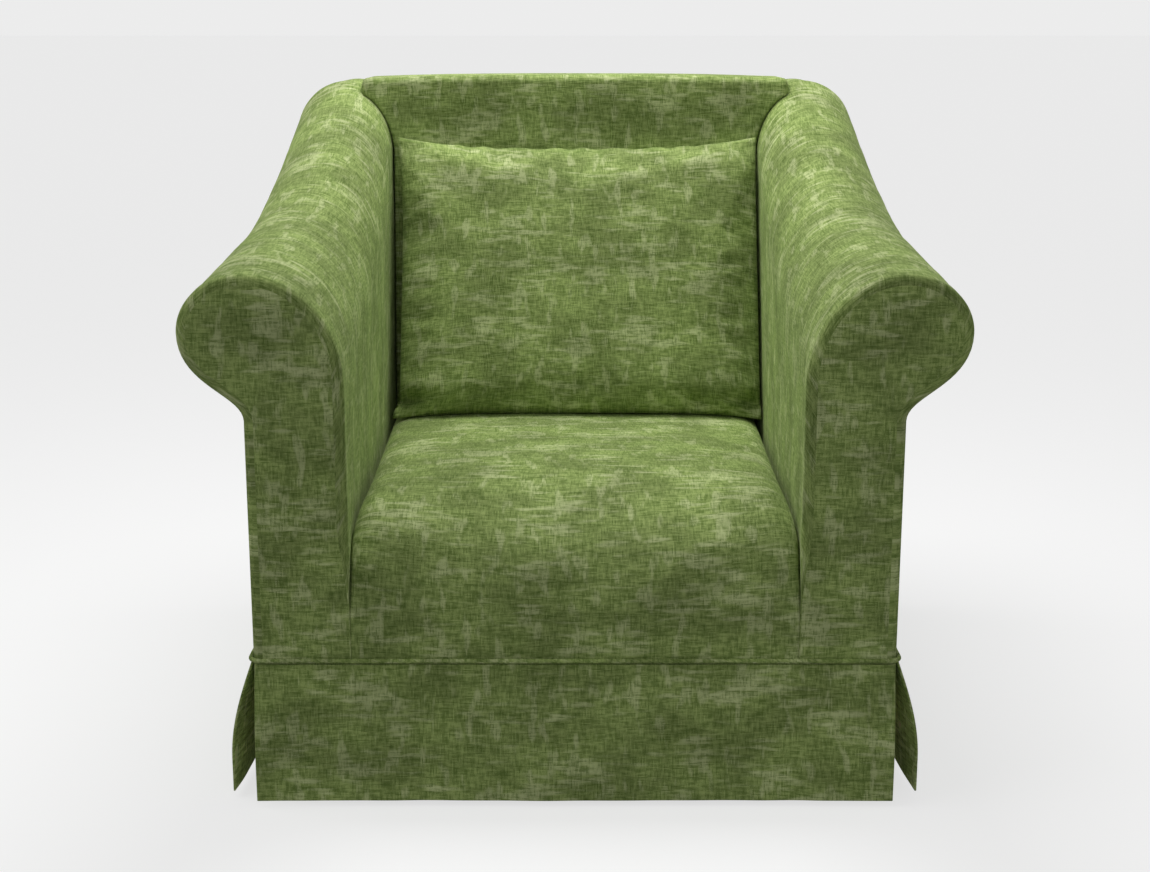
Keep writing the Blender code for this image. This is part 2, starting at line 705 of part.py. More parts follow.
def spring_bars():
    """How many bends a spring has, an even number, and the radius of each."""
    start, end = spring_ends()
    bends = 2 * round((end - start) / SPRING_PITCH / 2)
    return bends, (end - start) / bends / 2


def spring_line():
    """The middle line of one sinuous spring as (x, depth, z), from its front bar to its rear bar."""
    start, end = spring_ends()
    bars, bend = spring_bars()
    base = RAIL_TOP + CLIP_METAL + SPRING_WIRE / 2 + 2 * FIT
    straight = SPRING_WIDTH / 2 - bend
    points = [(-straight, start)]
    for bar in range(bars):
        side = 1 if bar % 2 == 0 else -1
        middle = start + (2 * bar + 1) * bend
        for angle in (-90, -30, 30, 90):
            turn = math.radians(angle)
            points.append((side * (straight + bend * math.cos(turn)), middle + bend * math.sin(turn)))
    points.append((-straight, end))
    return [(x, depth, base + spring_rise(depth)) for x, depth in points]


def spaced(count, margin):
    """Even places across the seat, the outer ones a margin from the arms."""
    reach = SEAT_WIDTH / 2 - margin
    return [mix(-reach, reach, index / (count - 1)) for index in range(count)]


def add_wire(name, points, radius, finish, cyclic=False, roundness=1):
    """A round wire or cord along points."""
    middle = sum(points, Vector()) / len(points)
    curve = bpy.data.curves.new(name, "CURVE")
    curve.dimensions = "3D"
    curve.bevel_depth = radius
    curve.bevel_resolution = roundness
    curve.use_fill_caps = not cyclic
    spline = curve.splines.new("POLY")
    spline.points.add(len(points) - 1)
    for target, point in zip(spline.points, points):
        target.co = (*(point - middle), 1)
    spline.use_cyclic_u = cyclic
    obj = bpy.data.objects.new(name, curve)
    obj.location = middle
    bpy.context.scene.collection.objects.link(obj)
    curve.materials.append(material(name, finish))
    return obj


def build_springs():
    """Sinuous springs from the front rail to the rear rail, each end held in a folded steel clip."""
    line = spring_line()
    front, rear = spring_ends()
    for number, x in enumerate(spaced(SPRING_COUNT, SPRING_MARGIN), 1):
        points = [place(x + across, depth, z) for across, depth, z in line]
        add_wire(f"seat_spring_{number}", points, SPRING_WIRE / 2, "spring_steel")
        build_clip(f"front_spring_clip_{number}", x, front, -1)
        build_clip(f"rear_spring_clip_{number}", x, rear, 1)


def build_clip(name, x, depth, outwards):
    """A strip folded around the spring's end bar, with its tail towards the outside of the chair."""
    inner = SPRING_WIRE / 2 + FIT
    outer = inner + CLIP_METAL
    centre_z = RAIL_TOP + FIT + outer
    fold = arc((0, 0), inner, 270, 60, 7) + arc((0, 0), outer, 60, 270, 7)
    strip = [(CLIP_TAIL, -inner)] + fold + [(CLIP_TAIL, -outer)]
    profile = [(depth + outwards * across, centre_z + up) for across, up in strip]
    half = SPRING_WIDTH / 2 - spring_bars()[1] - CLIP_SIDE_GAP
    extrude_x(name, profile, x - half, x + half, "spring_steel")


def build_webbing():
    """Upright straps across the back rails, which the back's padding bears on."""
    low, high = LOWER_BACK_RAIL, TOP_RAIL_TOP
    front, rear = FIT + WEBBING_THICKNESS, FIT
    corners = ((front, low), (rear, low), (rear, high), (front, high))
    profile = [(post_face(z) - clearance, z) for clearance, z in corners]
    for number, x in enumerate(spaced(WEBBING_COUNT, WEBBING_MARGIN), 1):
        half = WEBBING_WIDTH / 2
        extrude_x(f"back_webbing_{number}", profile, x - half, x + half, "webbing")


def cushion_point(across, up, side):
    """A point of the cushion at (across, up) from -1 to 1; side is 1 on its front and -1 on its back."""
    half_width = seat_half_width(SEAT_DEPTH, SEAT_HEIGHT) - CUSHION_SIDE_GAP
    half_height = CUSHION_HEIGHT / 2
    x = half_width * across * (1 - CUSHION_SIDE_PINCH * (1 - up * up))
    height = half_height * up * (1 - CUSHION_END_PINCH * (1 - across * across))
    full = ((1 - across**4) * (1 - up**4)) ** 0.5
    out = full * (CUSHION_FRONT_FILL if side > 0 else -CUSHION_REAR_FILL)
    top_z = SEAT_HEIGHT + CUSHION_HEIGHT * math.cos(CUSHION_LEAN)
    down = half_height - height
    depth = back_face(top_z) - CUSHION_TOP_GAP - down * math.sin(CUSHION_LEAN) - out * math.cos(CUSHION_LEAN)
    z = top_z - down * math.cos(CUSHION_LEAN) + out * math.sin(CUSHION_LEAN)
    return settle(x, depth, z)


def settle(x, depth, z):
    """The cushion flattened where it meets the inside back, the seat and the arms."""
    z = max(z, seat_top(x, min(depth, SEAT_DEPTH)) + CUSHION_SEAT_GAP)
    depth = min(depth, back_face(z) - FIT)
    limit = seat_half_width(depth, z) - 2 * FIT
    return place(max(-limit, min(limit, x)), depth, z)


def build_cushion():
    """The loose knife-edge cushion, leaning on the inside back and sitting on the seat."""
    columns, rows = 16, 12
    shape = bmesh.new()
    grids = {}
    for side in (1, -1):
        for row in range(rows + 1):
            for column in range(columns + 1):
                on_seam = row in (0, rows) or column in (0, columns)
                if on_seam and side == -1:
                    grids[side, row, column] = grids[1, row, column]
                    continue
                across = math.sin(math.pi / 2 * (2 * column / columns - 1))
                up = math.sin(math.pi / 2 * (2 * row / rows - 1))
                grids[side, row, column] = shape.verts.new(cushion_point(across, up, side))
        for row in range(rows):
            for column in range(columns):
                corners = [(row, column), (row, column + 1), (row + 1, column + 1), (row + 1, column)]
                if (row < rows / 2) != (column < columns / 2):
                    corners = corners[1:] + corners[:1]
                low, next_low, high, next_high = (grids[side, r, c] for r, c in corners)
                shape.faces.new((low, next_low, high)[::side])
                shape.faces.new((low, high, next_high)[::side])
    add_object("back_cushion", shape, "upholstery", smooth=60)


def skirt_flare(along, drop, corner_flare):
    """How far a panel stands out at a share of its half length and a share of its drop."""
    reach = SKIRT_FLARE + (corner_flare - SKIRT_FLARE) * abs(along) ** 3
    return reach * math.sin(math.pi / 2 * min(1.0, drop / SKIRT_FLARE_END))


def skirt_panel(name, spot, corner_flare, outwards):
    """A panel from the welt to the hem.

    spot gives a point of it from a share of its half length, a height and a distance out.
    """
    columns, rows = 10, 6
    top = WELT_HEIGHT - WELT_RADIUS - SKIRT_SEAM_GAP
    shape = bmesh.new()
    grid = []
    for row in range(rows + 1):
        drop = row / rows
        z = mix(top, SKIRT_CLEARANCE, drop)
        line = [2 * column / columns - 1 for column in range(columns + 1)]
        out = [FIT + skirt_flare(along, drop, corner_flare) for along in line]
        grid.append([shape.verts.new(spot(along, z, reach)) for along, reach in zip(line, out)])
    for upper, lower in zip(grid, grid[1:]):
        for index in range(columns):
            shape.faces.new((upper[index], upper[index + 1], lower[index + 1], lower[index]))
    shape.normal_update()
    if shape.faces[:][0].normal.dot(outwards) < 0:
        bmesh.ops.reverse_faces(shape, faces=shape.faces)
    panel = add_shape(name, shape, "upholstery", smooth=50)
    thicken = panel.modifiers.new("Cloth and lining", "SOLIDIFY")
    thicken.thickness = SKIRT_THICKNESS
    thicken.offset = 1
    return panel


def rear_face_out():
    """Distance of the outside back panel's face behind the body's rear face."""
    return FIT + OUTSIDE_BACK


def build_skirt():
    half = SIDE_X - SKIRT_END_SETBACK
    rear_end = rear_depth(SKIRT_CLEARANCE) - SKIRT_CORNER_GAP
    middle, reach = (SKIRT_CORNER_GAP + rear_end) / 2, (rear_end - SKIRT_CORNER_GAP) / 2

    def front(along, z, out):
        return place(along * half, -out, z)

    def rear(along, z, out):
        return place(along * half, rear_depth(WELT_HEIGHT) + rear_face_out() + out, z)

    def side(along, z, out):
        return place(SIDE_X + out, middle + along * reach, z)

    skirt_panel("front_skirt", front, FRONT_CORNER_FLARE, Vector((0, -1, 0)))
    skirt_panel("rear_skirt", rear, FRONT_CORNER_FLARE, Vector((0, 1, 0)))
    right = skirt_panel("right_skirt", side, SKIRT_CORNER_FLARE, Vector((1, 0, 0)))
    mirrored(right, "left_skirt")


def build_welt():
    """The corded seam around the body above the skirt, which turns with the body's corners."""
    out = FIT + WELT_RADIUS
    rear = rear_depth(WELT_HEIGHT) + rear_face_out()
    front_radius = FACE_EDGE_RADIUS + out
    front_x = SIDE_X - FACE_EDGE_RADIUS
    corners = (
        (front_x, FACE_EDGE_RADIUS, front_radius, -90),
        (SIDE_X, rear, out, 0),
        (-SIDE_X, rear, out, 90),
        (-front_x, FACE_EDGE_RADIUS, front_radius, 180),
    )
    points = []
    for x, depth, radius, start in corners:
        turn = arc((x, depth), radius, start, start + 90, FACE_EDGE_STEPS)
        points += [place(across, along, WELT_HEIGHT) for across, along in turn]
    add_wire("skirt_welt", points, WELT_RADIUS, "upholstery", cyclic=True, roundness=2)


def build_dust_cover():
    """Black cambric under the rails, notched around the legs."""
    half = FRAME_X
    notch = LEG_INSET + LEG_TOP + DUST_COVER_NOTCH
    front = FRONT_RAIL_DEPTH
    rear = rear_rail_face() + RAIL_THICKNESS
    right = [
        (half - notch, front),
        (half - notch, front + notch),
        (half, front + notch),
        (half, rear - notch),
        (half - notch, rear - notch),
        (half - notch, rear),
    ]
    outline = right + [(-x, depth) for x, depth in reversed(right)]
    points = [place(x, depth, RAIL_BOTTOM - FIT) for x, depth in outline]
    slab("dust_cover", points, Vector((0, 0, -DUST_COVER)), "cambric")


def main():
    clear_scene()
    build_arms()
    build_seat()
    build_back()
    build_outside_back()
    build_cushion()
    build_skirt()
    build_welt()
    build_seat_rails()
    build_front_posts()
    build_back_posts()
    build_back_rails()
    build_arm_rails()
    build_stretchers()
    build_corner_blocks()
    build_legs()
    build_springs()
    build_webbing()
    build_dust_cover()


main()
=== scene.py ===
import math

import bmesh
import bpy
import numpy as np
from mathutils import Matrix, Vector, geometry, noise


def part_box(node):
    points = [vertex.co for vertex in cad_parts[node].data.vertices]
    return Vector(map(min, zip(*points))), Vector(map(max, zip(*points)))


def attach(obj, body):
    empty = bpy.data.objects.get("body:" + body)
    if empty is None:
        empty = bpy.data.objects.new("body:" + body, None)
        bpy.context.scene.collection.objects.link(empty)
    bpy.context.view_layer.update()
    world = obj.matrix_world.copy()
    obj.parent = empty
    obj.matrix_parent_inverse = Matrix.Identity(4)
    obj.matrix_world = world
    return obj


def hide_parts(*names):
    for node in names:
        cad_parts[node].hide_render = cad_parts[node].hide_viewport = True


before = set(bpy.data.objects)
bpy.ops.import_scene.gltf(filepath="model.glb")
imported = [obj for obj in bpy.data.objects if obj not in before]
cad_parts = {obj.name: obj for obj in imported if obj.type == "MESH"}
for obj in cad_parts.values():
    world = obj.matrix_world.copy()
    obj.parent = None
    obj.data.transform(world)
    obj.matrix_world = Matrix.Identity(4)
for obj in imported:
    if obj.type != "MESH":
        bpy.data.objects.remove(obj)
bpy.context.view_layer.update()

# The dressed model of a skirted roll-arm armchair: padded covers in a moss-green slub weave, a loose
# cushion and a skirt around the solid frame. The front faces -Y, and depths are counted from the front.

# Sizes of the solid model, in metres
SEAT_WIDTH = 0.580
SEAT_FLARE = 0.010
ARM_THICKNESS = 0.128
BACK_RAKE = math.radians(8)
BACK_HEIGHT = 0.912
BACK_TOP_OVERLAP = 0.052
BODY_BOTTOM = 0.142
ARM_HEIGHT = 0.696
ARM_SLOPE_RISE = 0.094
REAR_CREST_DROP = 0.003
CREST_END = 0.88
SCOOP_START = 0.40
SCOOP_POWER = 1.57
ROLL_OVERHANG = 0.080
REAR_OVERHANG = 0.038
CREST_SETBACK = 0.006
REAR_CREST_SETBACK = 0.047
INNER_ROUND = 0.140
REAR_INNER_ROUND = 0.095
OUTER_ROUND = 0.075
REAR_OUTER_ROUND = 0.085
ROLL_UNDERSIDE = 0.112
FACE_EDGE_RADIUS = 0.012
BACK_CAP = 0.036
BACK_REAR_RADIUS = 0.017
OUTSIDE_BACK = 0.005
OUTSIDE_BACK_SETBACK = 0.003
SEAT_HEIGHT = 0.388
SEAT_CROWN = 0.026
SEAT_FRONT_DEPTH = 0.150
SEAT_FRONT_FOOT = 0.255
SEAT_FRONT_FULLNESS = 2.7
SEAT_DEPTH = 0.715
BACK_THICKNESS = 0.1474
CUSHION_SIDE_GAP = 0.006
CUSHION_HEIGHT = 0.473
CUSHION_FRONT_FILL = 0.034
CUSHION_REAR_FILL = 0.155
CUSHION_LEAN = math.radians(24.5)
CUSHION_TOP_GAP = 0.014
CUSHION_SEAT_GAP = 0.0009
WELT_HEIGHT = 0.194
WELT_RADIUS = 0.0036
SKIRT_SEAM_GAP = 0.0012
SKIRT_CLEARANCE = 0.008
SKIRT_CORNER_FLARE = 0.031
FRONT_CORNER_FLARE = 0.021
SKIRT_FLARE_END = 0.75
SKIRT_CORNER_GAP = 0.008
SKIRT_END_SETBACK = 0.003
FIT = 0.0003

SIDE_X = SEAT_WIDTH / 2 + ARM_THICKNESS
RAKE_SLOPE = math.tan(BACK_RAKE)
REAR_CREST = BACK_HEIGHT - REAR_CREST_DROP
SCOOP_RISE = REAR_CREST - ARM_HEIGHT - ARM_SLOPE_RISE
FRONT_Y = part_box("seat_upholstery")[0][1]

# The cloth over it, in metres where not said otherwise
COVER = 0.004  # cover and wadding, as a shell
FINE_DENTS = 0.0005
SKIRT_CLOTH = 0.0026
SKIRT_FLARE = 0.019  # at the middle of the hem, a little more than in the solid
SKIRT_WAVE = 0.0030
SKIRT_REVERSE_PAINTED_LIGHT = 2.2  # how much paler the skirts' reverse is painted: painted light standing in for light on the flaps' inner faces
WELT_PRESS = 0.0004  # how far the cord is drawn into the covers
SEAM_WIDTH = 0.0016
SEAM_DEPTH = 0.0002
TOP_EDGE = 0.014  # rounding of the back's front edge at the top
TOP_SWELL = 0.0055  # how far the padded cap rises in its middle
COVER_CROWN_LOSS = 0.80  # share of the crown that is gone at the seat's rear
COVER_FULLNESS = 2.30  # how square the roll over the front is in its middle
FRONT_ROLL = 0.215  # depth of that roll
SEAT_EDGE = 0.048  # width of the roll-off at the seat's sides
SEAT_EDGE_SHARE = 0.6  # its depth, as a share of a round one's
FRONT_CLOTH = (9.3, 2.2)  # where the fronts of the seat and the arms are cut from the cloth
CUSHION_EASE = 0.005  # how far the filling may move the cushion's cloth
CUSHION_PINCH = (0.038, 0.006)  # share by which its left and right sides are drawn in
CUSHION_SHIFT = 0.003  # it sits a little to the right
CUSHION_DIP = (0.085, 0.030)  # share by which its top sinks in the middle, and its foot rises
SEAM_RIPPLE = 0.0014
# Folds by the lower corners: place and width across, then place and reach up, as shares, and depth
CUSHION_FOLDS = (
    (-0.93, 0.09, -0.875, 0.035, 0.022), (-0.80, 0.035, -0.93, 0.07, 0.009),
    (0.65, 0.040, -0.92, 0.07, 0.018), (0.93, 0.10, -0.885, 0.035, 0.020),
)

# Steps of the arm's outline: up its inner face, along each curve of the roll, under it and down outside
FOOT_STEPS, ARC, UNDER_STEPS, OUTSIDE_STEPS = 30, 26, 18, 18
CREST = FOOT_STEPS + ARC  # index of the roll's highest point
NECK = CREST + ARC + UNDER_STEPS  # index of the seam under the roll

# Stage, as linear greys
BACKDROP = 0.84
FLOOR_GLOW = 0.68
FLOOR_COLOUR = 0.31
FLOOR_BOUNCE = 0.36  # what the floor gives back onto the chair
WORLD_LIGHT = 0.25

# Lamps, with places as (x, depth, z)
SOFTBOX_WATTS = 24
SOFTBOX_SIZE = (0.9, 0.8)
SOFTBOX_PLACE = (-0.05, 0.85, 2.15)
SOFTBOX_TILT = math.radians(-11)
# Suns: name, strength, spread in degrees and direction of the light
SUNS = (("window_left", 0.56, 40, (0.62, 0.0, -0.78)), ("fill_front", 0.34, 50, (0.0, 0.86, -0.51)))

# Camera, fitted to the photo's view of the chair
CAMERA_PLACE = (0.0, -2.157, 0.990)
CAMERA_PITCH = math.radians(77)
LENS = 55.12
SENSOR = 36.0


# Shapes shared with the solid model


def mix(first, second, share):
    return first + (second - first) * share


def smooth_step(low, high, value):
    share = np.clip((value - low) / (high - low), 0.0, 1.0)
    return share * share * (3 - 2 * share)


def back_face(z):
    return SEAT_DEPTH + (z - SEAT_HEIGHT) * RAKE_SLOPE


def rear_depth(z):
    return back_face(z) + BACK_THICKNESS


def inner_x(run):
    return SEAT_WIDTH / 2 + SEAT_FLARE * run


def seat_half_width(depth, z):
    return inner_x(np.clip(depth / rear_depth(z), 0.0, 1.0))


def crest_height(run):
    along = np.minimum(1.0, run / CREST_END)
    sweep = np.maximum(0.0, (along - SCOOP_START) / (1 - SCOOP_START)) ** SCOOP_POWER
    return ARM_HEIGHT + ARM_SLOPE_RISE * along + SCOOP_RISE * sweep


def crest_place(run):
    return SIDE_X - mix(CREST_SETBACK, REAR_CREST_SETBACK, run)


def cover_top(x, depth):
    """The seat's cloth, which rolls over the front more gently in the middle than the solid does."""
    across = np.minimum(1.0, np.abs(x) / (SEAT_WIDTH / 2))
    crown = SEAT_CROWN * (1 - across**4.5) * (1 - COVER_CROWN_LOSS * depth / SEAT_DEPTH)
    flat = SEAT_HEIGHT + crown * smooth_step(-0.05, 0.30, depth)
    reach = mix(FRONT_ROLL, SEAT_FRONT_DEPTH, across**2)
    fullness = mix(COVER_FULLNESS, SEAT_FRONT_FULLNESS, across**2)
    away = np.clip((reach - depth) / reach, 0.0, 1.0)
    return SEAT_FRONT_FOOT + (flat - SEAT_FRONT_FOOT) * (1 - away**fullness) ** (1 / fullness)


def arm_inside(depth, z):
    """Distance of the arm's inner surface from the chair's middle at a depth and a height."""
    run = np.clip(depth / rear_depth(z), 0.0, 1.0)
    crest_z, crest_x, in_x = crest_height(run), crest_place(run), inner_x(run)
    inner_round = mix(INNER_ROUND, REAR_INNER_ROUND, run)
    rise = np.clip(1 - (crest_z - z) / inner_round, 0.0, 1.0)
    return crest_x - (crest_x - in_x) * np.sqrt(1 - rise * rise)


# Mesh helpers


class Cloth:
    """A mesh gathered from patches, with places on the cloth in metres for its weave."""

    def __init__(self, shift=(0.0, 0.0)):
        self.points, self.faces, self.places, self.shift = [], [], [], shift

    def add(self, points):
        start = len(self.points)
        points = np.asarray(points, dtype=float)
        self.points.extend(map(tuple, points.reshape(-1, 3)))
        return np.arange(start, len(self.points)).reshape(points.shape[:-1])

    def face(self, corners, places, flip=False):
        shifted = [(u + self.shift[0], v + self.shift[1]) for u, v in places]
        self.faces.append(tuple(corners)[::-1] if flip else tuple(corners))
        self.places.append(shifted[::-1] if flip else shifted)

    def grid(self, index, places, flip=False):
        rows, columns = index.shape
        for row in range(rows - 1):
            for column in range(columns - 1):
                spots = ((row, column), (row, column + 1), (row + 1, column + 1), (row + 1, column))
                self.face([int(index[s]) for s in spots], [tuple(places[s]) for s in spots], flip)

    def make(self, name, material):
        mesh = bpy.data.meshes.new(name)
        mesh.from_pydata(self.points, [], self.faces)
        layer = mesh.uv_layers.new(name="weave")
        layer.data.foreach_set("uv", [value for one in self.places for place in one for value in place])
        mesh.materials.append(material)
        mesh.shade_smooth()
        obj = bpy.data.objects.new(name, mesh)
        bpy.context.scene.collection.objects.link(obj)
        return obj


def apply_modifiers(obj):
    bpy.context.view_layer.update()
    evaluated = obj.evaluated_get(bpy.context.evaluated_depsgraph_get())
    mesh = bpy.data.meshes.new_from_object(evaluated)
    obj.modifiers.clear()
    old = obj.data
    obj.data = mesh
    bpy.data.meshes.remove(old)


def thicken(obj, thickness):
    """A modifier that draws a second skin inwards."""
    shell = obj.modifiers.new("Thickness", "SOLIDIFY")
    shell.thickness = thickness
    shell.offset = -1
    return shell


def face_out(obj, closed=True):
    """Every face outwards, as a closed mesh's volume or an open one's highest face shows."""
    shape = bmesh.new()
    shape.from_mesh(obj.data)
    bmesh.ops.recalc_face_normals(shape, faces=shape.faces)
    if closed:
        inside_out = shape.calc_volume(signed=True) < 0
    else:
        inside_out = max(shape.faces, key=lambda face: face.calc_center_median().z).normal.z < 0
    if inside_out:
        bmesh.ops.reverse_faces(shape, faces=shape.faces)
    shape.to_mesh(obj.data)
    shape.free()
    obj.data.shade_smooth()


def finish_shell(obj):
    face_out(obj, closed=False)
    thicken(obj, COVER)
    apply_modifiers(obj)
    return obj


def wobble(points, scale, seed, octaves=2):
    """Smooth noise from -1 to 1 over an array of points."""
    shift = Vector((seed * 13.7, seed * 7.3, seed * 3.1))
    flat = np.asarray(points).reshape(-1, 3)
    values = [noise.fractal(Vector(point) * scale + shift, 1.0, 2.0, octaves) for point in flat]
    return np.array(values).reshape(np.asarray(points).shape[:-1])


def soft_dents(points, depth, scale, seed, fine_scale, fine_seed):
    """How far padded cloth lies below its fullest shape, in broad waves and in fine ones."""
    broad = depth * (1 + wobble(points, scale, seed))
    return broad + FINE_DENTS * (1 + wobble(points, fine_scale, fine_seed))


def grid_normals(points):
    across = np.gradient(points, axis=1)
    along = np.gradient(points, axis=0)
    normals = np.cross(across, along)
    return normals / np.maximum(np.linalg.norm(normals, axis=-1, keepdims=True), 1e-12)


def arc_lengths(points, axis):
    """Distance run along one axis of a grid of points."""
    steps = np.linalg.norm(np.diff(points, axis=axis), axis=-1)
    first = np.zeros_like(np.take(steps, [0], axis=axis))
    return np.cumsum(np.concatenate([first, steps], axis=axis), axis=axis)


def spread(count, gathered):
    """Shares from -1 to 1, closer together near both ends."""
    even = np.linspace(-1, 1, count)
    return np.sin(even * math.pi / 2) * gathered + even * (1 - gathered)


def cloth_run(points):
    """Distance along a cover's cloth for each row of its grid, the same across a row."""
    return arc_lengths(points, 0).mean(axis=1, keepdims=True) + np.zeros(points.shape[:-1])


def round_off(distance, radius):
    """How far a rounded edge falls back at a distance from its end."""
    inside = np.clip(radius - distance, 0.0, radius)
    return radius - np.sqrt(np.maximum(radius * radius - inside * inside, 0.0))


def place(x, depth, z):
    x, depth, z = np.broadcast_arrays(x, depth, z)
    return np.stack([x, FRONT_Y + depth, z], axis=-1)


def distance_to_outline(spots, outline):
    """Distance of each 2-D spot from a closed outline, and whether it lies inside."""
    start, end = outline, np.roll(outline, -1, axis=0)
    span = end - start
    length = np.maximum((span**2).sum(1), 1e-12)
    share = np.clip(((spots[:, None] - start) * span).sum(2) / length, 0, 1)
    near = np.linalg.norm(spots[:, None] - (start + share[..., None] * span), axis=2).min(1)
    x, z = spots[:, 0:1], spots[:, 1:2]
    crosses = (start[:, 1] > z) != (end[:, 1] > z)
    height = np.where(np.abs(span[:, 1]) < 1e-12, 1e-12, span[:, 1])
    inside = (crosses & (x < start[:, 0] + (z - start[:, 1]) * span[:, 0] / height)).sum(1) % 2 == 1
    return near, inside


def filled(outline, spacing):
    """Triangles over a closed outline: its own points first, then the added ones."""
    low, high = outline.min(0), outline.max(0)
    rows = []
    for count, z in enumerate(np.arange(low[1], high[1], spacing * 0.866)):
        shift = spacing / 2 * (count % 2)
        x = np.arange(low[0] + shift, high[0], spacing)
        rows.append(np.column_stack([x, np.full_like(x, z)]))
    spots = np.concatenate(rows)
    near, inside = distance_to_outline(spots, outline)
    spots = spots[inside & (near > spacing * 0.55)]
    count = len(outline)
    every = np.concatenate([outline, spots])
    edges = [(index, (index + 1) % count) for index in range(count)]
    result = geometry.delaunay_2d_cdt([Vector(spot) for spot in every], edges, [], 1, 1e-7)
    origin = [ids[0] for ids in result[3]]
    triangles = [tuple(origin[corner] for corner in face) for face in result[2]]
    return every, triangles


# Materials


class Nodes:
    """Short names for building a node material."""

    def __init__(self, name):
        self.material = bpy.data.materials.new(name)
        self.material.use_nodes = True
        self.tree = self.material.node_tree
        self.shader = self.tree.nodes["Principled BSDF"]

    def link(self, source, target):
        if isinstance(source, (int, float, tuple)):
            target.default_value = source
        else:
            self.tree.links.new(source, target)

    def weave(self):
        node = self.tree.nodes.new("ShaderNodeUVMap")
        node.uv_map = "weave"
        return node.outputs[0]

    def position(self):
        return self.tree.nodes.new("ShaderNodeTexCoord").outputs["Object"]

    def scaled(self, vector, scale, shift):
        node = self.tree.nodes.new("ShaderNodeMapping")
        self.link(vector, node.inputs["Vector"])
        node.inputs["Scale"].default_value = scale
        node.inputs["Location"].default_value = shift
        return node.outputs[0]

    def noise(self, vector, scale, shift=(0, 0, 0), detail=1.0, rough=0.5, dimensions="2D"):
        node = self.tree.nodes.new("ShaderNodeTexNoise")
        node.noise_dimensions = dimensions
        self.link(self.scaled(vector, scale, shift), node.inputs["Vector"])
        node.inputs["Scale"].default_value = 1.0
        node.inputs["Detail"].default_value = detail
        node.inputs["Roughness"].default_value = rough
        return node.outputs["Fac"]

    def threads(self, vector, along, across, seed, upright=False):
        """Noise drawn out along separate yarns, each with streaks of its own."""
        split = self.tree.nodes.new("ShaderNodeSeparateXYZ")
        self.link(vector, split.inputs[0])
        run, side = split.outputs[0], split.outputs[1]
        if upright:
            run, side = side, run
        yarn = self.math("FLOOR", self.math("MULTIPLY", side, across))
        join = self.tree.nodes.new("ShaderNodeCombineXYZ")
        self.link(self.math("MULTIPLY", run, along), join.inputs[0])
        self.link(self.math("ADD", self.math("MULTIPLY", yarn, 3.713), seed), join.inputs[1])
        return self.noise(join.outputs[0], (1, 1, 1))

    def math(self, operation, first, second=0.0):
        node = self.tree.nodes.new("ShaderNodeMath")
        node.operation = operation
        self.link(first, node.inputs[0])
        self.link(second, node.inputs[1])
        return node.outputs[0]

    def total(self, *terms):
        """The sum of (value, weight) terms."""
        result = None
        for value, weight in terms:
            part = self.math("MULTIPLY", value, weight)
            result = part if result is None else self.math("ADD", result, part)
        return result

    def ramp(self, value, low, high, first=0.0, last=1.0, smooth=True):
        node = self.tree.nodes.new("ShaderNodeMapRange")
        node.interpolation_type = "SMOOTHSTEP" if smooth else "LINEAR"
        self.link(value, node.inputs["Value"])
        for name, number in (("From Min", low), ("From Max", high), ("To Min", first), ("To Max", last)):
            node.inputs[name].default_value = number
        return node.outputs[0]

    def blend(self, share, first, second):
        node = self.tree.nodes.new("ShaderNodeMix")
        node.data_type = "RGBA"
        self.link(share, node.inputs["Factor"])
        self.link(first, node.inputs["A"])
        self.link(second, node.inputs["B"])
        return node.outputs["Result"]

    def bump(self, height, distance, strength=1.0):
        node = self.tree.nodes.new("ShaderNodeBump")
        node.inputs["Strength"].default_value = strength
        node.inputs["Distance"].default_value = distance
        self.link(height, node.inputs["Height"])
        return node.outputs[0]

    def finish(self, colour, roughness, normal=None, **values):
        self.link(colour, self.shader.inputs["Base Color"])
        self.link(roughness, self.shader.inputs["Roughness"])
        if normal is not None:
            self.link(normal, self.shader.inputs["Normal"])
        for name, value in values.items():
            self.shader.inputs[name.replace("_", " ")].default_value = value
        return self.material


def grey(value):
    return (value, value, value, 1.0)


DARK_MOSS, LIGHT_MOSS = (0.118, 0.176, 0.041, 1), (0.330, 0.415, 0.140, 1)
RUBBED_YARN = (0.49, 0.545, 0.275, 1)
SHEEN_TINT = (0.60, 0.78, 0.30, 1)


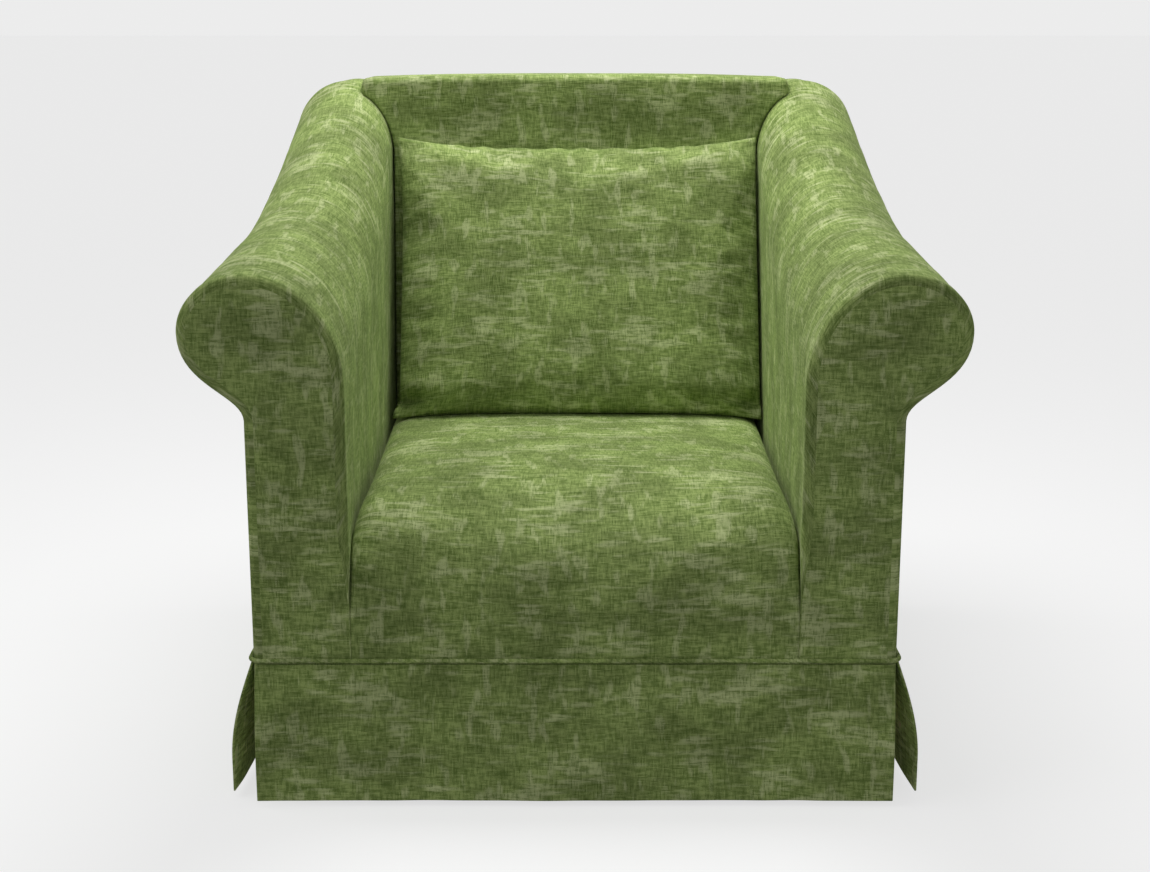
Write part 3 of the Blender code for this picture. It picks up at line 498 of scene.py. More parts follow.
def slub_weave(name, brightness=1.0):
    """Moss-green cloth of uneven yarns, with rubbed places where the paler yarns show."""
    n = Nodes(name)
    cloth = n.weave()
    weft = n.threads(cloth, 58, 600, 0.0)
    warp = n.threads(cloth, 66, 560, 31.7, upright=True)
    slubs = n.threads(cloth, 22, 260, 7.9)
    grain = n.noise(cloth, (1000, 1000, 1), (5, 71, 0), 1.0)
    yarns = n.total((weft, 0.30), (warp, 0.29), (slubs, 0.13), (grain, 0.28))
    tone = n.ramp(yarns, 0.395, 0.62, smooth=False)
    colour = n.blend(tone, DARK_MOSS, LIGHT_MOSS)

    mottle = n.noise(cloth, (10, 14, 1), (3, 17, 0), 3.0)
    # A brightness above 1 paints light into the colour, as on the skirts' reverse faces
    lift = n.ramp(mottle, 0.3, 0.7, 0.82 * brightness, 1.18 * brightness)
    area = n.noise(cloth, (9, 17, 1), (13, 45, 0), 1.0)
    stripe = n.noise(cloth, (19, 92, 1), (23, 5, 0), 1.0)
    tall = n.noise(cloth, (52, 22, 1), (2, 37, 0), 1.0)
    across = n.ramp(n.total((area, 0.44), (stripe, 0.47), (slubs, 0.09)), 0.525, 0.66)
    upright = n.ramp(n.total((tall, 0.82), (area, 0.12), (warp, 0.06)), 0.56, 0.69)
    rubbed = n.math("MAXIMUM", across, n.math("MULTIPLY", upright, 0.85))
    rubbed = n.math("MULTIPLY", rubbed, n.ramp(yarns, 0.38, 0.60, 0.18, 0.85))
    colour = n.blend(rubbed, colour, RUBBED_YARN)
    lifted = n.tree.nodes.new("ShaderNodeHueSaturation")
    n.link(colour, lifted.inputs["Color"])
    n.link(lift, lifted.inputs["Value"])
    height = n.total((weft, 0.40), (warp, 0.35), (grain, 0.25))
    return n.finish(
        lifted.outputs[0], n.ramp(yarns, 0.3, 0.7, 0.98, 0.86), n.bump(height, 0.0010, 0.6),
        Sheen_Weight=0.20, Sheen_Roughness=0.4, Sheen_Tint=SHEEN_TINT, Specular_IOR_Level=0.12,
    )


def hardwood(name, axis):
    """Pale sawn timber whose grain runs along one axis."""
    n = Nodes(name)
    spot = n.position()
    along, across = 2.2, 34.0
    scale = [across, across, across]
    scale[axis] = along
    rings = n.noise(spot, tuple(scale), (4, 2, 9), 4.0, 0.6, "3D")
    fine = [value * 9 for value in scale]
    pores = n.noise(spot, tuple(fine), (1, 8, 3), 2.0, 0.5, "3D")
    colour = n.blend(n.ramp(rings, 0.32, 0.68), (0.36, 0.215, 0.105, 1), (0.60, 0.42, 0.235, 1))
    colour = n.blend(n.ramp(pores, 0.55, 0.72, 0.0, 0.45), colour, (0.22, 0.125, 0.06, 1))
    return n.finish(colour, n.ramp(rings, 0.3, 0.7, 0.62, 0.48), n.bump(pores, 0.0004, 0.6))


def spring_steel():
    n = Nodes("tempered_steel")
    spot = n.position()
    haze = n.noise(spot, (60, 60, 60), (2, 5, 1), 3.0, 0.6, "3D")
    drawn = n.noise(spot, (900, 900, 900), (7, 1, 4), 1.0, 0.5, "3D")
    colour = n.blend(n.ramp(haze, 0.35, 0.7), (0.33, 0.335, 0.35, 1), (0.20, 0.19, 0.18, 1))
    return n.finish(colour, n.ramp(haze, 0.3, 0.7, 0.28, 0.50), n.bump(drawn, 0.0001, 0.5), Metallic=1.0)


def webbing():
    """Jute-coloured elastic webbing with ribs along each strap."""
    n = Nodes("back_webbing")
    spot = n.position()
    ribs = n.noise(spot, (700, 30, 30), (0, 0, 0), 1.0, 0.5, "3D")
    picks = n.noise(spot, (90, 90, 800), (3, 3, 3), 1.0, 0.5, "3D")
    both = n.total((ribs, 0.55), (picks, 0.45))
    colour = n.blend(n.ramp(both, 0.38, 0.62), (0.13, 0.11, 0.08, 1), (0.36, 0.32, 0.25, 1))
    return n.finish(colour, 0.9, n.bump(both, 0.0008, 0.8), Specular_IOR_Level=0.2)


def cambric():
    n = Nodes("black_cambric")
    spot = n.position()
    fibres = n.noise(spot, (260, 1500, 300), (0, 4, 0), 2.0, 0.6, "3D")
    cross = n.noise(spot, (1500, 260, 300), (6, 0, 0), 2.0, 0.6, "3D")
    both = n.total((fibres, 0.5), (cross, 0.5))
    colour = n.blend(n.ramp(both, 0.4, 0.62), grey(0.012), grey(0.045))
    return n.finish(colour, 0.85, n.bump(both, 0.0004, 0.7), Specular_IOR_Level=0.2)


def nylon():
    n = Nodes("moulded_nylon")
    spot = n.position()
    speckle = n.noise(spot, (420, 420, 420), (1, 1, 1), 2.0, 0.5, "3D")
    scuffs = n.noise(spot, (300, 60, 300), (5, 2, 2), 3.0, 0.6, "3D")
    colour = n.blend(n.ramp(scuffs, 0.5, 0.72), (0.70, 0.69, 0.64, 1), (0.40, 0.38, 0.34, 1))
    return n.finish(colour, n.ramp(speckle, 0.3, 0.7, 0.35, 0.55), n.bump(speckle, 0.0002, 0.4))


# Pieces


def arm_section(run):
    """The right arm across the chair: (x, z) from the inner foot, over the roll, to the outer foot."""
    crest_z, crest_x, in_x = crest_height(run), crest_place(run), inner_x(run)
    out_x = SIDE_X + mix(ROLL_OVERHANG, REAR_OVERHANG, run)
    inner_round = mix(INNER_ROUND, REAR_INNER_ROUND, run)
    outer_round = mix(OUTER_ROUND, REAR_OUTER_ROUND, run)
    widest_z = crest_z - outer_round
    neck_z = widest_z - ROLL_UNDERSIDE
    rise = np.linspace(BODY_BOTTOM, crest_z - inner_round, FOOT_STEPS, endpoint=False)
    foot = np.column_stack([np.full_like(rise, in_x), rise])
    turn = np.linspace(0, math.pi / 2, ARC, endpoint=False)
    inside = np.column_stack([
        crest_x - (crest_x - in_x) * np.cos(turn), crest_z - inner_round * (1 - np.sin(turn)),
    ])
    turn = np.linspace(0, math.pi / 2, ARC + 1)
    over = np.column_stack([
        crest_x + (out_x - crest_x) * np.sin(turn), crest_z - outer_round * (1 - np.cos(turn)),
    ])
    corners = np.array([
        (out_x, widest_z), (out_x, widest_z - 0.6 * ROLL_UNDERSIDE),
        (SIDE_X, neck_z + 0.3 * ROLL_UNDERSIDE), (SIDE_X, neck_z),
    ])
    t = np.linspace(0, 1, UNDER_STEPS + 1)[1:, None]
    weights = ((1 - t) ** 3, 3 * (1 - t) ** 2 * t, 3 * (1 - t) * t * t, t**3)
    under = sum(weight * corner for weight, corner in zip(weights, corners))
    fall = np.linspace(neck_z, BODY_BOTTOM, OUTSIDE_STEPS + 1)[1:]
    outside = np.column_stack([np.full_like(fall, SIDE_X), fall])
    return np.concatenate([foot, inside, over, under, outside])


def moved_in(section, amounts):
    """An outline moved towards its inside by an amount for each point."""
    along = np.gradient(section, axis=0)
    along[0], along[-1] = (0, 1), (0, -1)
    along /= np.linalg.norm(along, axis=1, keepdims=True)
    return section + np.column_stack([along[:, 1], -along[:, 0]]) * np.asarray(amounts)[:, None]


def arm_cover(name, side, cloth_material):
    """One arm's cover: the roll with its inner face, the outer panel and the boxed front panel."""
    cloth = Cloth((1.7 if side > 0 else 4.9, 0.4))
    section = arm_section(0)
    order = np.arange(len(section))
    beside_seat = (order < FOOT_STEPS) & (section[:, 1] <= SEAT_HEIGHT)
    edge = np.where(beside_seat, smooth_step(SEAT_FRONT_FOOT, SEAT_HEIGHT, section[:, 1]), 1.0)
    radius = edge * FACE_EDGE_RADIUS
    panel = moved_in(section, radius + SEAM_WIDTH)
    groove = moved_in(section, radius + SEAM_WIDTH * 0.5)
    rings = [place(panel[:, 0], 0.0, panel[:, 1]), place(groove[:, 0], SEAM_DEPTH * edge, groove[:, 1])]
    for angle in np.linspace(math.pi / 2, 0, 8):
        ring = moved_in(section, radius * (1 - math.cos(angle)))
        rings.append(place(ring[:, 0], FACE_EDGE_RADIUS * (1 - math.sin(angle)), ring[:, 1]))
    for run in np.linspace(0.022, 1.0, 92):
        ring = arm_section(run)
        rings.append(place(ring[:, 0], run * rear_depth(ring[:, 1]), ring[:, 1]))
    points = np.array(rings)
    normals = grid_normals(points)
    depth = points[..., 1] - FRONT_Y
    soft = soft_dents(
        points, depth=0.0011, scale=7.0, seed=3 * side + 5, fine_scale=26.0, fine_seed=side + 9,
    )
    gathers = 0.0006 * (1 + wobble(points * np.array([1, 0.18, 1]), 55.0, side + 2))
    soft = soft + gathers * (1 - smooth_step(0.03, 0.11, depth))
    soft = soft * smooth_step(0.004, 0.05, depth)
    soft[:, NECK] += SEAM_DEPTH * smooth_step(0.0, 0.02, depth[:, NECK])
    outwards = 1.0 if (normals[40, CREST + ARC // 2] @ np.array([0.3, 0, 1.0])) > 0 else -1.0
    points = points - normals * outwards * soft[..., None]
    arc = arc_lengths(points, 1)
    arc = arc - arc[:, [CREST]]
    wrapped = np.stack([arc, cloth_run(points)], axis=-1)
    flat = np.stack([points[..., 1], points[..., 2]], axis=-1)
    points[..., 0] *= side
    index = cloth.add(points)
    cloth.grid(index[:, : NECK + 1], wrapped[:, : NECK + 1], side < 0)
    cloth.grid(index[:, NECK:], flat[:, NECK:], side < 0)
    every, triangles = filled(panel, 0.0075)
    added = every[len(panel):]
    near, _ = distance_to_outline(added, panel)
    bulge = 0.0026 * (1 - np.exp(-near / 0.022)) * smooth_step(0.205, 0.27, added[:, 1])
    uneven = wobble(place(added[:, 0], 0.0, added[:, 1]), 14.0, side + 21)
    bulge += 0.0007 * uneven * smooth_step(0.0, 0.02, near)
    extra = cloth.add(place(added[:, 0] * side, -np.maximum(bulge, 0.0), added[:, 1]))
    joined = np.concatenate([index[0], extra])
    moved = (FRONT_CLOTH[0] - cloth.shift[0], FRONT_CLOTH[1] - cloth.shift[1] - BODY_BOTTOM)
    for corners in triangles:
        spots = [tuple(every[corner]) for corner in corners]
        area = (spots[1][0] - spots[0][0]) * (spots[2][1] - spots[0][1])
        area -= (spots[2][0] - spots[0][0]) * (spots[1][1] - spots[0][1])
        places = [(x * side + moved[0], z + moved[1]) for x, z in spots]
        cloth.face([int(joined[corner]) for corner in corners], places, (area < 0) != (side < 0))
    return finish_shell(cloth.make(name, cloth_material))


def seat_cover(cloth_material):
    """The seat, its rounded front edge and the border below it, in one cloth."""
    cloth = Cloth(FRONT_CLOTH)
    share = spread(91, 0.4)
    x = share * SEAT_WIDTH / 2
    border = np.linspace(BODY_BOTTOM, SEAT_FRONT_FOOT, 16, endpoint=False)
    rows = [place(x, 0.0, np.full_like(x, z)) for z in border]
    for turn in np.linspace(0, math.pi / 2, 38, endpoint=False):
        depth = FRONT_ROLL * (1 - math.cos(turn))
        rows.append(place(x, depth, cover_top(x, np.full_like(x, depth))))
    rear = back_face(cover_top(x, np.full_like(x, SEAT_DEPTH))) - FIT
    for step in np.linspace(0, 1, 50):
        depth = mix(FRONT_ROLL, rear, step)
        rows.append(place(x, depth, cover_top(x, depth)))
    points = np.array(rows)
    depth, z = points[..., 1] - FRONT_Y, points[..., 2]
    half = seat_half_width(depth, z) - FIT
    points[..., 0] = share * half
    normals = grid_normals(points)
    if normals[-10, 45, 2] < 0:
        normals = -normals
    from_side = (1 - np.abs(share)) * half
    edge = mix(0.0002, SEAT_EDGE, smooth_step(SEAT_FRONT_FOOT - 0.01, SEAT_HEIGHT - 0.01, z))
    fall = SEAT_EDGE_SHARE * round_off(from_side, edge)
    fall = fall + round_off(rear - depth, 0.012) * smooth_step(0.3, 0.5, depth)
    soft = soft_dents(points, depth=0.0014, scale=6.0, seed=4, fine_scale=21.0, fine_seed=6)
    soft = soft * smooth_step(0.20, 0.29, z) * smooth_step(0.0, 0.05, from_side)
    points = points - normals * (fall + soft)[..., None]
    index = cloth.add(points)
    cloth.grid(index, np.stack([points[..., 0], cloth_run(points)], axis=-1))
    return finish_shell(cloth.make("seat_cover", cloth_material))


def back_limit(depth, z):
    """Half width of the inside back where it meets the arms, and above them."""
    half = inner_x(1) + BACK_TOP_OVERLAP
    return np.minimum(arm_inside(depth, z), half) - 2 * FIT


def back_cover(cloth_material):
    """The inside back with its cap, tucked in against the arms."""
    cloth = Cloth((14.1, 6.3))
    front_z, rear_z = BACK_HEIGHT - TOP_EDGE, BACK_HEIGHT - BACK_REAR_RADIUS
    bottom = BACK_HEIGHT - BACK_CAP
    path = [(back_face(z), z) for z in np.linspace(0.33, 0.70, 22, endpoint=False)]
    path += [(back_face(z), z) for z in np.linspace(0.70, front_z, 34, endpoint=False)]
    start, end = back_face(front_z) + TOP_EDGE, rear_depth(rear_z) - BACK_REAR_RADIUS
    for angle in np.radians(np.linspace(180, 90, 12)):
        path.append((start + TOP_EDGE * math.cos(angle), front_z + TOP_EDGE * math.sin(angle)))
    path += [(depth, BACK_HEIGHT) for depth in np.linspace(start, end, 14)[1:-1]]
    for angle in np.radians(np.linspace(90, 0, 8)):
        depth = end + BACK_REAR_RADIUS * math.cos(angle)
        path.append((depth, rear_z + BACK_REAR_RADIUS * math.sin(angle)))
    path += [(rear_depth(z), z) for z in np.linspace(rear_z, bottom, 5)[1:]]
    path = np.array(path)
    share = spread(121, 0.5)
    limit = back_limit(path[:, 0], path[:, 1])
    points = place(share[None, :] * limit[:, None], path[:, [0]], path[:, [1]])
    normals = grid_normals(points)
    if normals[10, 60, 1] > 0:
        normals = -normals
    from_side = (1 - np.abs(share))[None, :] * limit[:, None]
    on_top = smooth_step(front_z - 0.06, front_z, path[:, [1]])
    fall = round_off(from_side, mix(0.004, 0.010, on_top))
    soft = soft_dents(points, depth=0.0013, scale=6.5, seed=8, fine_scale=24.0, fine_seed=12)
    soft = soft * smooth_step(0.0, 0.05, from_side) * (1 - 0.8 * on_top)
    points = points - normals * (fall + soft)[..., None]
    points[..., 2] += TOP_SWELL * on_top * (1 - np.abs(share)[None, :] ** 3)
    index = cloth.add(points)
    cloth.grid(index, np.stack([points[..., 0], cloth_run(points)], axis=-1))
    first = int(np.argmax(path[:, 1] > 0.80))
    for column, side in ((0, -1), (120, 1)):
        loop = points[first:, column][:, 1:]
        every, triangles = filled(loop, 0.008)
        added = every[len(loop):]
        x = back_limit(added[:, 0] - FRONT_Y, added[:, 1])
        extra = cloth.add(np.column_stack([x * side, added]))
        joined = np.concatenate([index[first:, column], extra])
        for corners in triangles:
            cloth.face([int(joined[c]) for c in corners], [tuple(every[c]) for c in corners])
    return finish_shell(cloth.make("inside_back_cover", cloth_material))


def outside_back_cover(cloth_material):
    """The flat panel that closes the rear, turned under along its edge."""
    cloth = Cloth((20.5, 3.3))
    section = arm_section(1.0)
    section = moved_in(section, np.full(len(section), OUTSIDE_BACK_SETBACK))
    crest = int(np.argmax(section[:, 1]))
    right = section[crest:]
    along_top = np.linspace(-right[0, 0], right[0, 0], 80)[1:-1]
    along_foot = np.linspace(right[-1, 0], -right[-1, 0], 80)[1:-1]
    top = np.column_stack([along_top, np.full_like(along_top, right[0, 1])])
    foot = np.column_stack([along_foot, np.full_like(along_foot, right[-1, 1])])
    left = right[::-1] * np.array([-1, 1])
    outline = np.concatenate([right, foot, left, top])
    every, triangles = filled(outline, 0.011)
    near, _ = distance_to_outline(every, outline)
    near[: len(outline)] = 0.0
    out = 0.0012 + 0.0036 * (1 - np.exp(-near / 0.006))
    uneven = wobble(place(every[:, 0], 0.0, every[:, 1]), 5.0, 31)
    out -= 0.0006 * (1 + uneven) * smooth_step(0.0, 0.03, near)
    rear = rear_depth(every[:, 1]) + FIT
    outer = cloth.add(place(every[:, 0], rear + out, every[:, 1]))
    inner = cloth.add(place(outline[:, 0], rear[: len(outline)], outline[:, 1]))
    for corners in triangles:
        spots = [tuple(every[corner]) for corner in corners]
        cloth.face([int(outer[c]) for c in corners], spots)
    count = len(outline)
    for first in range(count):
        after = (first + 1) % count
        spots = [tuple(every[first]), tuple(every[after]), tuple(every[after]), tuple(every[first])]
        cloth.face([int(outer[first]), int(outer[after]), int(inner[after]), int(inner[first])], spots)
    flat, faces = filled(outline, 0.05)
    extra = cloth.add(place(flat[count:, 0], rear_depth(flat[count:, 1]) + FIT, flat[count:, 1]))
    joined = np.concatenate([inner, extra])
    for corners in faces:
        cloth.face([int(joined[c]) for c in corners], [tuple(flat[c]) for c in corners])
    obj = cloth.make("outside_back_cover", cloth_material)
    face_out(obj)
    low, high = outline.min(0), outline.max(0)
    x, z = outline[:, 0], outline[:, 1]
    area = abs(np.dot(x, np.roll(z, -1)) - np.dot(z, np.roll(x, -1))) / 2 / math.cos(BACK_RAKE)
    return obj, (float(high[0] - low[0]), float((high[1] - low[1]) / math.cos(BACK_RAKE))), float(area)


# The cushion's half width before it is filled, and the steps of its two sheets
CUSHION_HALF_WIDTH = inner_x(SEAT_DEPTH / rear_depth(SEAT_HEIGHT)) - CUSHION_SIDE_GAP
COLUMNS, ROWS = 104, 78


def cushion_grid():
    """Two sheets that share their seam: the index of each point, and its place from -1 to 1."""
    u, v = np.meshgrid(np.linspace(-1, 1, COLUMNS + 1), np.linspace(-1, 1, ROWS + 1))
    front = np.arange(u.size).reshape(u.shape)
    rear = front.copy()
    inner = rear[1:-1, 1:-1]
    rear[1:-1, 1:-1] = front.size + np.arange(inner.size).reshape(inner.shape)
    return {"front": front, "rear": rear}, u, v


def plump(u, v, flatness, foot_flatness):
    """Thickness of the filled cushion as a share of its most, with little filling in the corners."""
    ear = smooth_step(1.74, 1.96, np.abs(u) + np.abs(v))
    upright = np.where(v < 0, foot_flatness, flatness)
    return ((1 - np.abs(u) ** flatness) * (1 - np.abs(v) ** upright)) ** 0.52 * (1 - 0.8 * ear)


def inflate(points, faces, seam):
    """The two sheets swollen by the filling: the seam is held, and the cloth is cut a little large."""
    mesh = bpy.data.meshes.new("filling")
    mesh.from_pydata([tuple(p) for p in points], [], faces)
    obj = bpy.data.objects.new("filling", mesh)
    bpy.context.scene.collection.objects.link(obj)
    group = obj.vertex_groups.new(name="seam")
    group.add([int(i) for i in seam], 1.0, "REPLACE")
    modifier = obj.modifiers.new("Cloth", "CLOTH")
    settings = modifier.settings
    settings.quality = 6
    settings.mass = 0.25
    settings.tension_stiffness = settings.compression_stiffness = 25
    settings.shear_stiffness = 12
    settings.bending_stiffness = 0.25
    settings.shrink_min = -0.028
    settings.use_pressure = True
    settings.uniform_pressure_force = 3.0
    settings.vertex_group_mass = "seam"
    settings.effector_weights.gravity = 0.0
    modifier.collision_settings.use_self_collision = False
    scene = bpy.context.scene
    modifier.point_cache.frame_start, modifier.point_cache.frame_end = 1, 24
    for number in range(1, 25):
        scene.frame_set(number)
    evaluated = obj.evaluated_get(bpy.context.evaluated_depsgraph_get())
    result = np.empty(len(points) * 3)
    evaluated.data.vertices.foreach_get("co", result)
    scene.frame_set(1)
    bpy.data.objects.remove(obj)
    bpy.data.meshes.remove(mesh)
    return result.reshape(-1, 3)


def cushion(cloth_material):
    """The loose knife-edge cushion, filled and then set against the seat, the back and the arms."""
    index, u, v = cushion_grid()
    half_height = CUSHION_HEIGHT / 2
    count = index["rear"].max() + 1
    local = np.zeros((count, 3))
    share = np.zeros((count, 2))
    for sheet, fill, flatness in (
        ("front", CUSHION_FRONT_FILL, (5.5, 13.2)), ("rear", -CUSHION_REAR_FILL, (3.1, 3.1)),
    ):
        spots = index[sheet]
        local[spots, 0] = u * CUSHION_HALF_WIDTH
        local[spots, 1] = plump(u, v, *flatness) * fill
        local[spots, 2] = v * half_height
        share[spots, 0], share[spots, 1] = u, v
    faces = []
    for sheet in ("front", "rear"):
        grid = index[sheet]
        for row in range(ROWS):
            for column in range(COLUMNS):
                spots = ((row, column), (row, column + 1), (row + 1, column + 1), (row + 1, column))
                corners = tuple(int(grid[spot]) for spot in spots)
                faces.append(corners if sheet == "rear" else corners[::-1])
    front = index["front"]
    seam = np.unique(np.concatenate([front[[0, -1]].ravel(), front[:, [0, -1]].ravel()]))
    moved = inflate(local, faces, seam) - local
    length = np.linalg.norm(moved, axis=1, keepdims=True)
    local = local + moved * CUSHION_EASE * np.tanh(length / CUSHION_EASE) / np.maximum(length, 1e-9)
    across, up = share[:, 0], share[:, 1]
    pinch = np.where(across < 0, *CUSHION_PINCH)
    close = np.where(up > 0, np.abs(up) ** 3, smooth_step(0.84, 0.99, -up))
    x = local[:, 0] * (1 - pinch * (1 - close)) + CUSHION_SHIFT
    at_top, at_foot = CUSHION_DIP
    dip = np.where(up > 0, at_top * (1 - np.abs(across) ** 3.2), at_foot * (1 - np.abs(across) ** 3))
    height = local[:, 2] * (1 - dip * np.abs(up))
    near_top = smooth_step(0.86, 1.0, up) * (1 - smooth_step(0.55, 0.85, np.abs(across)))
    height += SEAM_RIPPLE * np.sin(across * 34.0 + 0.9 * np.sin(across * 11.0)) * near_top
    out = local[:, 1].copy()
    for middle, width, low, reach, depth in CUSHION_FOLDS:
        fold = np.exp(-(((across - middle) / width) ** 2) - ((up - low) / reach) ** 2)
        out -= depth * fold * (local[:, 1] > 0)
    top_z = SEAT_HEIGHT + CUSHION_HEIGHT * math.cos(CUSHION_LEAN)
    down = half_height - height
    lean, rise = math.sin(CUSHION_LEAN), math.cos(CUSHION_LEAN)
    depth = back_face(top_z) - CUSHION_TOP_GAP - down * lean - out * rise
    z = top_z - down * rise + out * lean
    z = np.maximum(z, cover_top(x, np.minimum(depth, SEAT_DEPTH)) + CUSHION_SEAT_GAP)
    depth = np.minimum(depth, back_face(z) - FIT)
    limit = seat_half_width(depth, z) - 2 * FIT
    x = np.clip(x, -limit, limit)
    cloth = Cloth((26.4, 8.8))
    cloth.add(place(x, depth, z))
    width = np.stack([u * CUSHION_HALF_WIDTH * 1.06, v * half_height * 1.06], axis=-1)
    cloth.grid(index["front"], width)
    cloth.grid(index["rear"], width + np.array([3.0, 0.0]), True)
    obj = cloth.make("loose_back_cushion", cloth_material)
    face_out(obj)
    return obj


def skirt_flare(along, drop, corner_flare):
    """How far a panel stands out: like a bell in its middle, and quickly at the open corners."""
    reach = SKIRT_FLARE + (corner_flare - SKIRT_FLARE) * np.abs(along) ** 3
    quick = np.sin(math.pi / 2 * np.minimum(1.0, drop / SKIRT_FLARE_END))
    return reach * mix(drop**2.2, quick, np.abs(along) ** 4)


def skirt(name, spot, half_length, corner_flare, shift, cloth_material, painted_light_lining):
    """A panel from the welt to its hem, with the slight waves of hanging cloth; its reverse face is
    painted paler, as painted light.
    """
    cloth = Cloth(shift)
    top = WELT_HEIGHT - WELT_RADIUS - SKIRT_SEAM_GAP
    drops = np.concatenate([np.linspace(0, 0.93, 26), [0.955, 0.975, 0.99, 1.0]])
    along, drop = np.meshgrid(np.linspace(-1, 1, 141), drops)
    z = mix(top, SKIRT_CLEARANCE, drop)
    out = FIT + skirt_flare(along, drop, corner_flare)
    waves = wobble(place(along * half_length, 0.0, z * 0.25), 9.0, shift[0], 2)
    out = out + SKIRT_WAVE * waves * smooth_step(0.1, 0.8, drop) * (1 - np.abs(along) ** 6)
    out = np.maximum(out, FIT)
    points = spot(along, z, out + SKIRT_CLOTH)
    cloth.grid(cloth.add(points), np.stack([along * half_length, z], axis=-1))
    obj = cloth.make(name, cloth_material)
    shape = bmesh.new()
    shape.from_mesh(obj.data)
    shape.faces.ensure_lookup_table()
    outwards = Vector(spot(0.0, 0.1, 1.0)) - Vector(spot(0.0, 0.1, 0.0))
    if shape.faces[0].normal.dot(outwards) < 0:
        bmesh.ops.reverse_faces(shape, faces=shape.faces)
    shape.to_mesh(obj.data)
    shape.free()
    obj.data.shade_smooth()
    # The reverse face gets the paler cloth: painted light on the skirts' inner faces
    obj.data.materials.append(painted_light_lining)
    thicken(obj, SKIRT_CLOTH).material_offset = 1
    bevel = obj.modifiers.new("Turned edge", "BEVEL")
    bevel.width = 0.0008
    bevel.segments = 2
    bevel.angle_limit = math.radians(50)
    apply_modifiers(obj)
    return obj


def skirts(cloth_material, painted_light_lining):
    half = SIDE_X - SKIRT_END_SETBACK
    rear_end = rear_depth(SKIRT_CLEARANCE) - SKIRT_CORNER_GAP
    middle, reach = (SKIRT_CORNER_GAP + rear_end) / 2, (rear_end - SKIRT_CORNER_GAP) / 2
    rear_face = rear_depth(WELT_HEIGHT) + FIT + OUTSIDE_BACK

    def front(along, z, out):
        return place(along * half, -out, z)

    def rear(along, z, out):
        return place(along * half, rear_face + out, z)

    def right(along, z, out):
        return place(SIDE_X + out, middle + along * reach, z)

    def left(along, z, out):
        return place(-SIDE_X - out, middle + along * reach, z)

    drop = WELT_HEIGHT - WELT_RADIUS - SKIRT_SEAM_GAP - SKIRT_CLEARANCE
    made = []
    for name, node, spot, size, flare, shift in (
        ("front_skirt_cloth", "front_skirt", front, half, FRONT_CORNER_FLARE, (33.2, 1.1)),
        ("rear_skirt_cloth", "rear_skirt", rear, half, FRONT_CORNER_FLARE, (36.9, 1.9)),
        ("right_skirt_cloth", "right_skirt", right, reach, SKIRT_CORNER_FLARE, (40.3, 2.4)),
        ("left_skirt_cloth", "left_skirt", left, reach, SKIRT_CORNER_FLARE, (44.8, 2.9)),
    ):
        obj = skirt(name, spot, size, flare, shift, cloth_material, painted_light_lining)
        made.append((obj, node, (2 * size, drop + 0.002)))
    return made


def welt(cloth_material):
    """The corded seam above the skirt."""
    out = FIT + WELT_RADIUS - WELT_PRESS
    rear = rear_depth(WELT_HEIGHT) + FIT + OUTSIDE_BACK
    front_radius = FACE_EDGE_RADIUS + out
    front_x = SIDE_X - FACE_EDGE_RADIUS
    turns = []
    for x, depth, radius, start in (
        (front_x, FACE_EDGE_RADIUS, front_radius, -90), (SIDE_X, rear, out, 0),
        (-SIDE_X, rear, out, 90), (-front_x, FACE_EDGE_RADIUS, front_radius, 180),
    ):
        angles = np.radians(np.linspace(start, start + 90, 7))
        turns.append(np.column_stack([x + radius * np.cos(angles), depth + radius * np.sin(angles)]))
    corners = np.concatenate(turns + [turns[0][:1]])
    line = [corners[0]]
    for start, end in zip(corners, corners[1:]):
        steps = max(1, int(round(np.linalg.norm(end - start) / 0.006)))
        line += [mix(start, end, step / steps) for step in range(1, steps + 1)]
    line = np.array(line)
    tangent = np.gradient(line, axis=0)
    tangent[0] = tangent[-1] = line[1] - line[-2]
    tangent /= np.linalg.norm(tangent, axis=1, keepdims=True)
    side = np.column_stack([tangent[:, 1], -tangent[:, 0]])
    length = arc_lengths(line[None], 1)[0]
    turn = np.linspace(0, 2 * math.pi, 19)
    bumps = np.array([noise.noise(Vector((one * 60, 0.3, 0.1))) for one in length])
    radius = WELT_RADIUS - 0.0005 + 0.0002 * bumps
    flat = line[:, None] + side[:, None] * (radius[:, None, None] * np.cos(turn)[None, :, None])
    z = WELT_HEIGHT + radius[:, None] * np.sin(turn)[None, :]
    cloth = Cloth((50.0, 5.0))
    index = cloth.add(place(flat[:-1, :-1, 0], flat[:-1, :-1, 1], z[:-1, :-1]))
    index = np.concatenate([index, index[:1]])
    index = np.concatenate([index, index[:, :1]], axis=1)
    around = (turn * WELT_RADIUS)[None, :] + length[:, None] * 0.7  # cut on the bias
    cloth.grid(index, np.stack(np.broadcast_arrays(around, length[:, None]), axis=-1))
    obj = cloth.make("skirt_welt_cord", cloth_material)
    face_out(obj)
    return obj


def dress_frame():
    """Own finishes for the pieces of the frame that stay as they are."""
    along_x, along_y = hardwood("timber_across", 0), hardwood("timber_along", 1)
    upright = hardwood("timber_upright", 2)
    steel, straps, cover, feet = spring_steel(), webbing(), cambric(), nylon()
    across = ("front_seat_rail", "rear_seat_rail", "lower_back_rail", "top_back_rail")
    for name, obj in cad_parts.items():
        if name.startswith(("seat_spring", "front_spring", "rear_spring")):
            chosen = steel
        elif name.startswith("back_webbing"):
            chosen = straps
        elif name == "dust_cover":
            chosen = cover
        elif name.endswith("_glide"):
            chosen = feet
        elif name.endswith(("_post", "_leg")):
            chosen = upright
        elif name in across or "_block" in name:
            chosen = along_x
        elif name.endswith(("_seat_rail", "_arm_rail", "_arm_stretcher")):
            chosen = along_y
        else:
            continue
        for slot in obj.material_slots:
            slot.material = chosen


def dress(obj, node):
    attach(obj, "root")
    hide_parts(node)


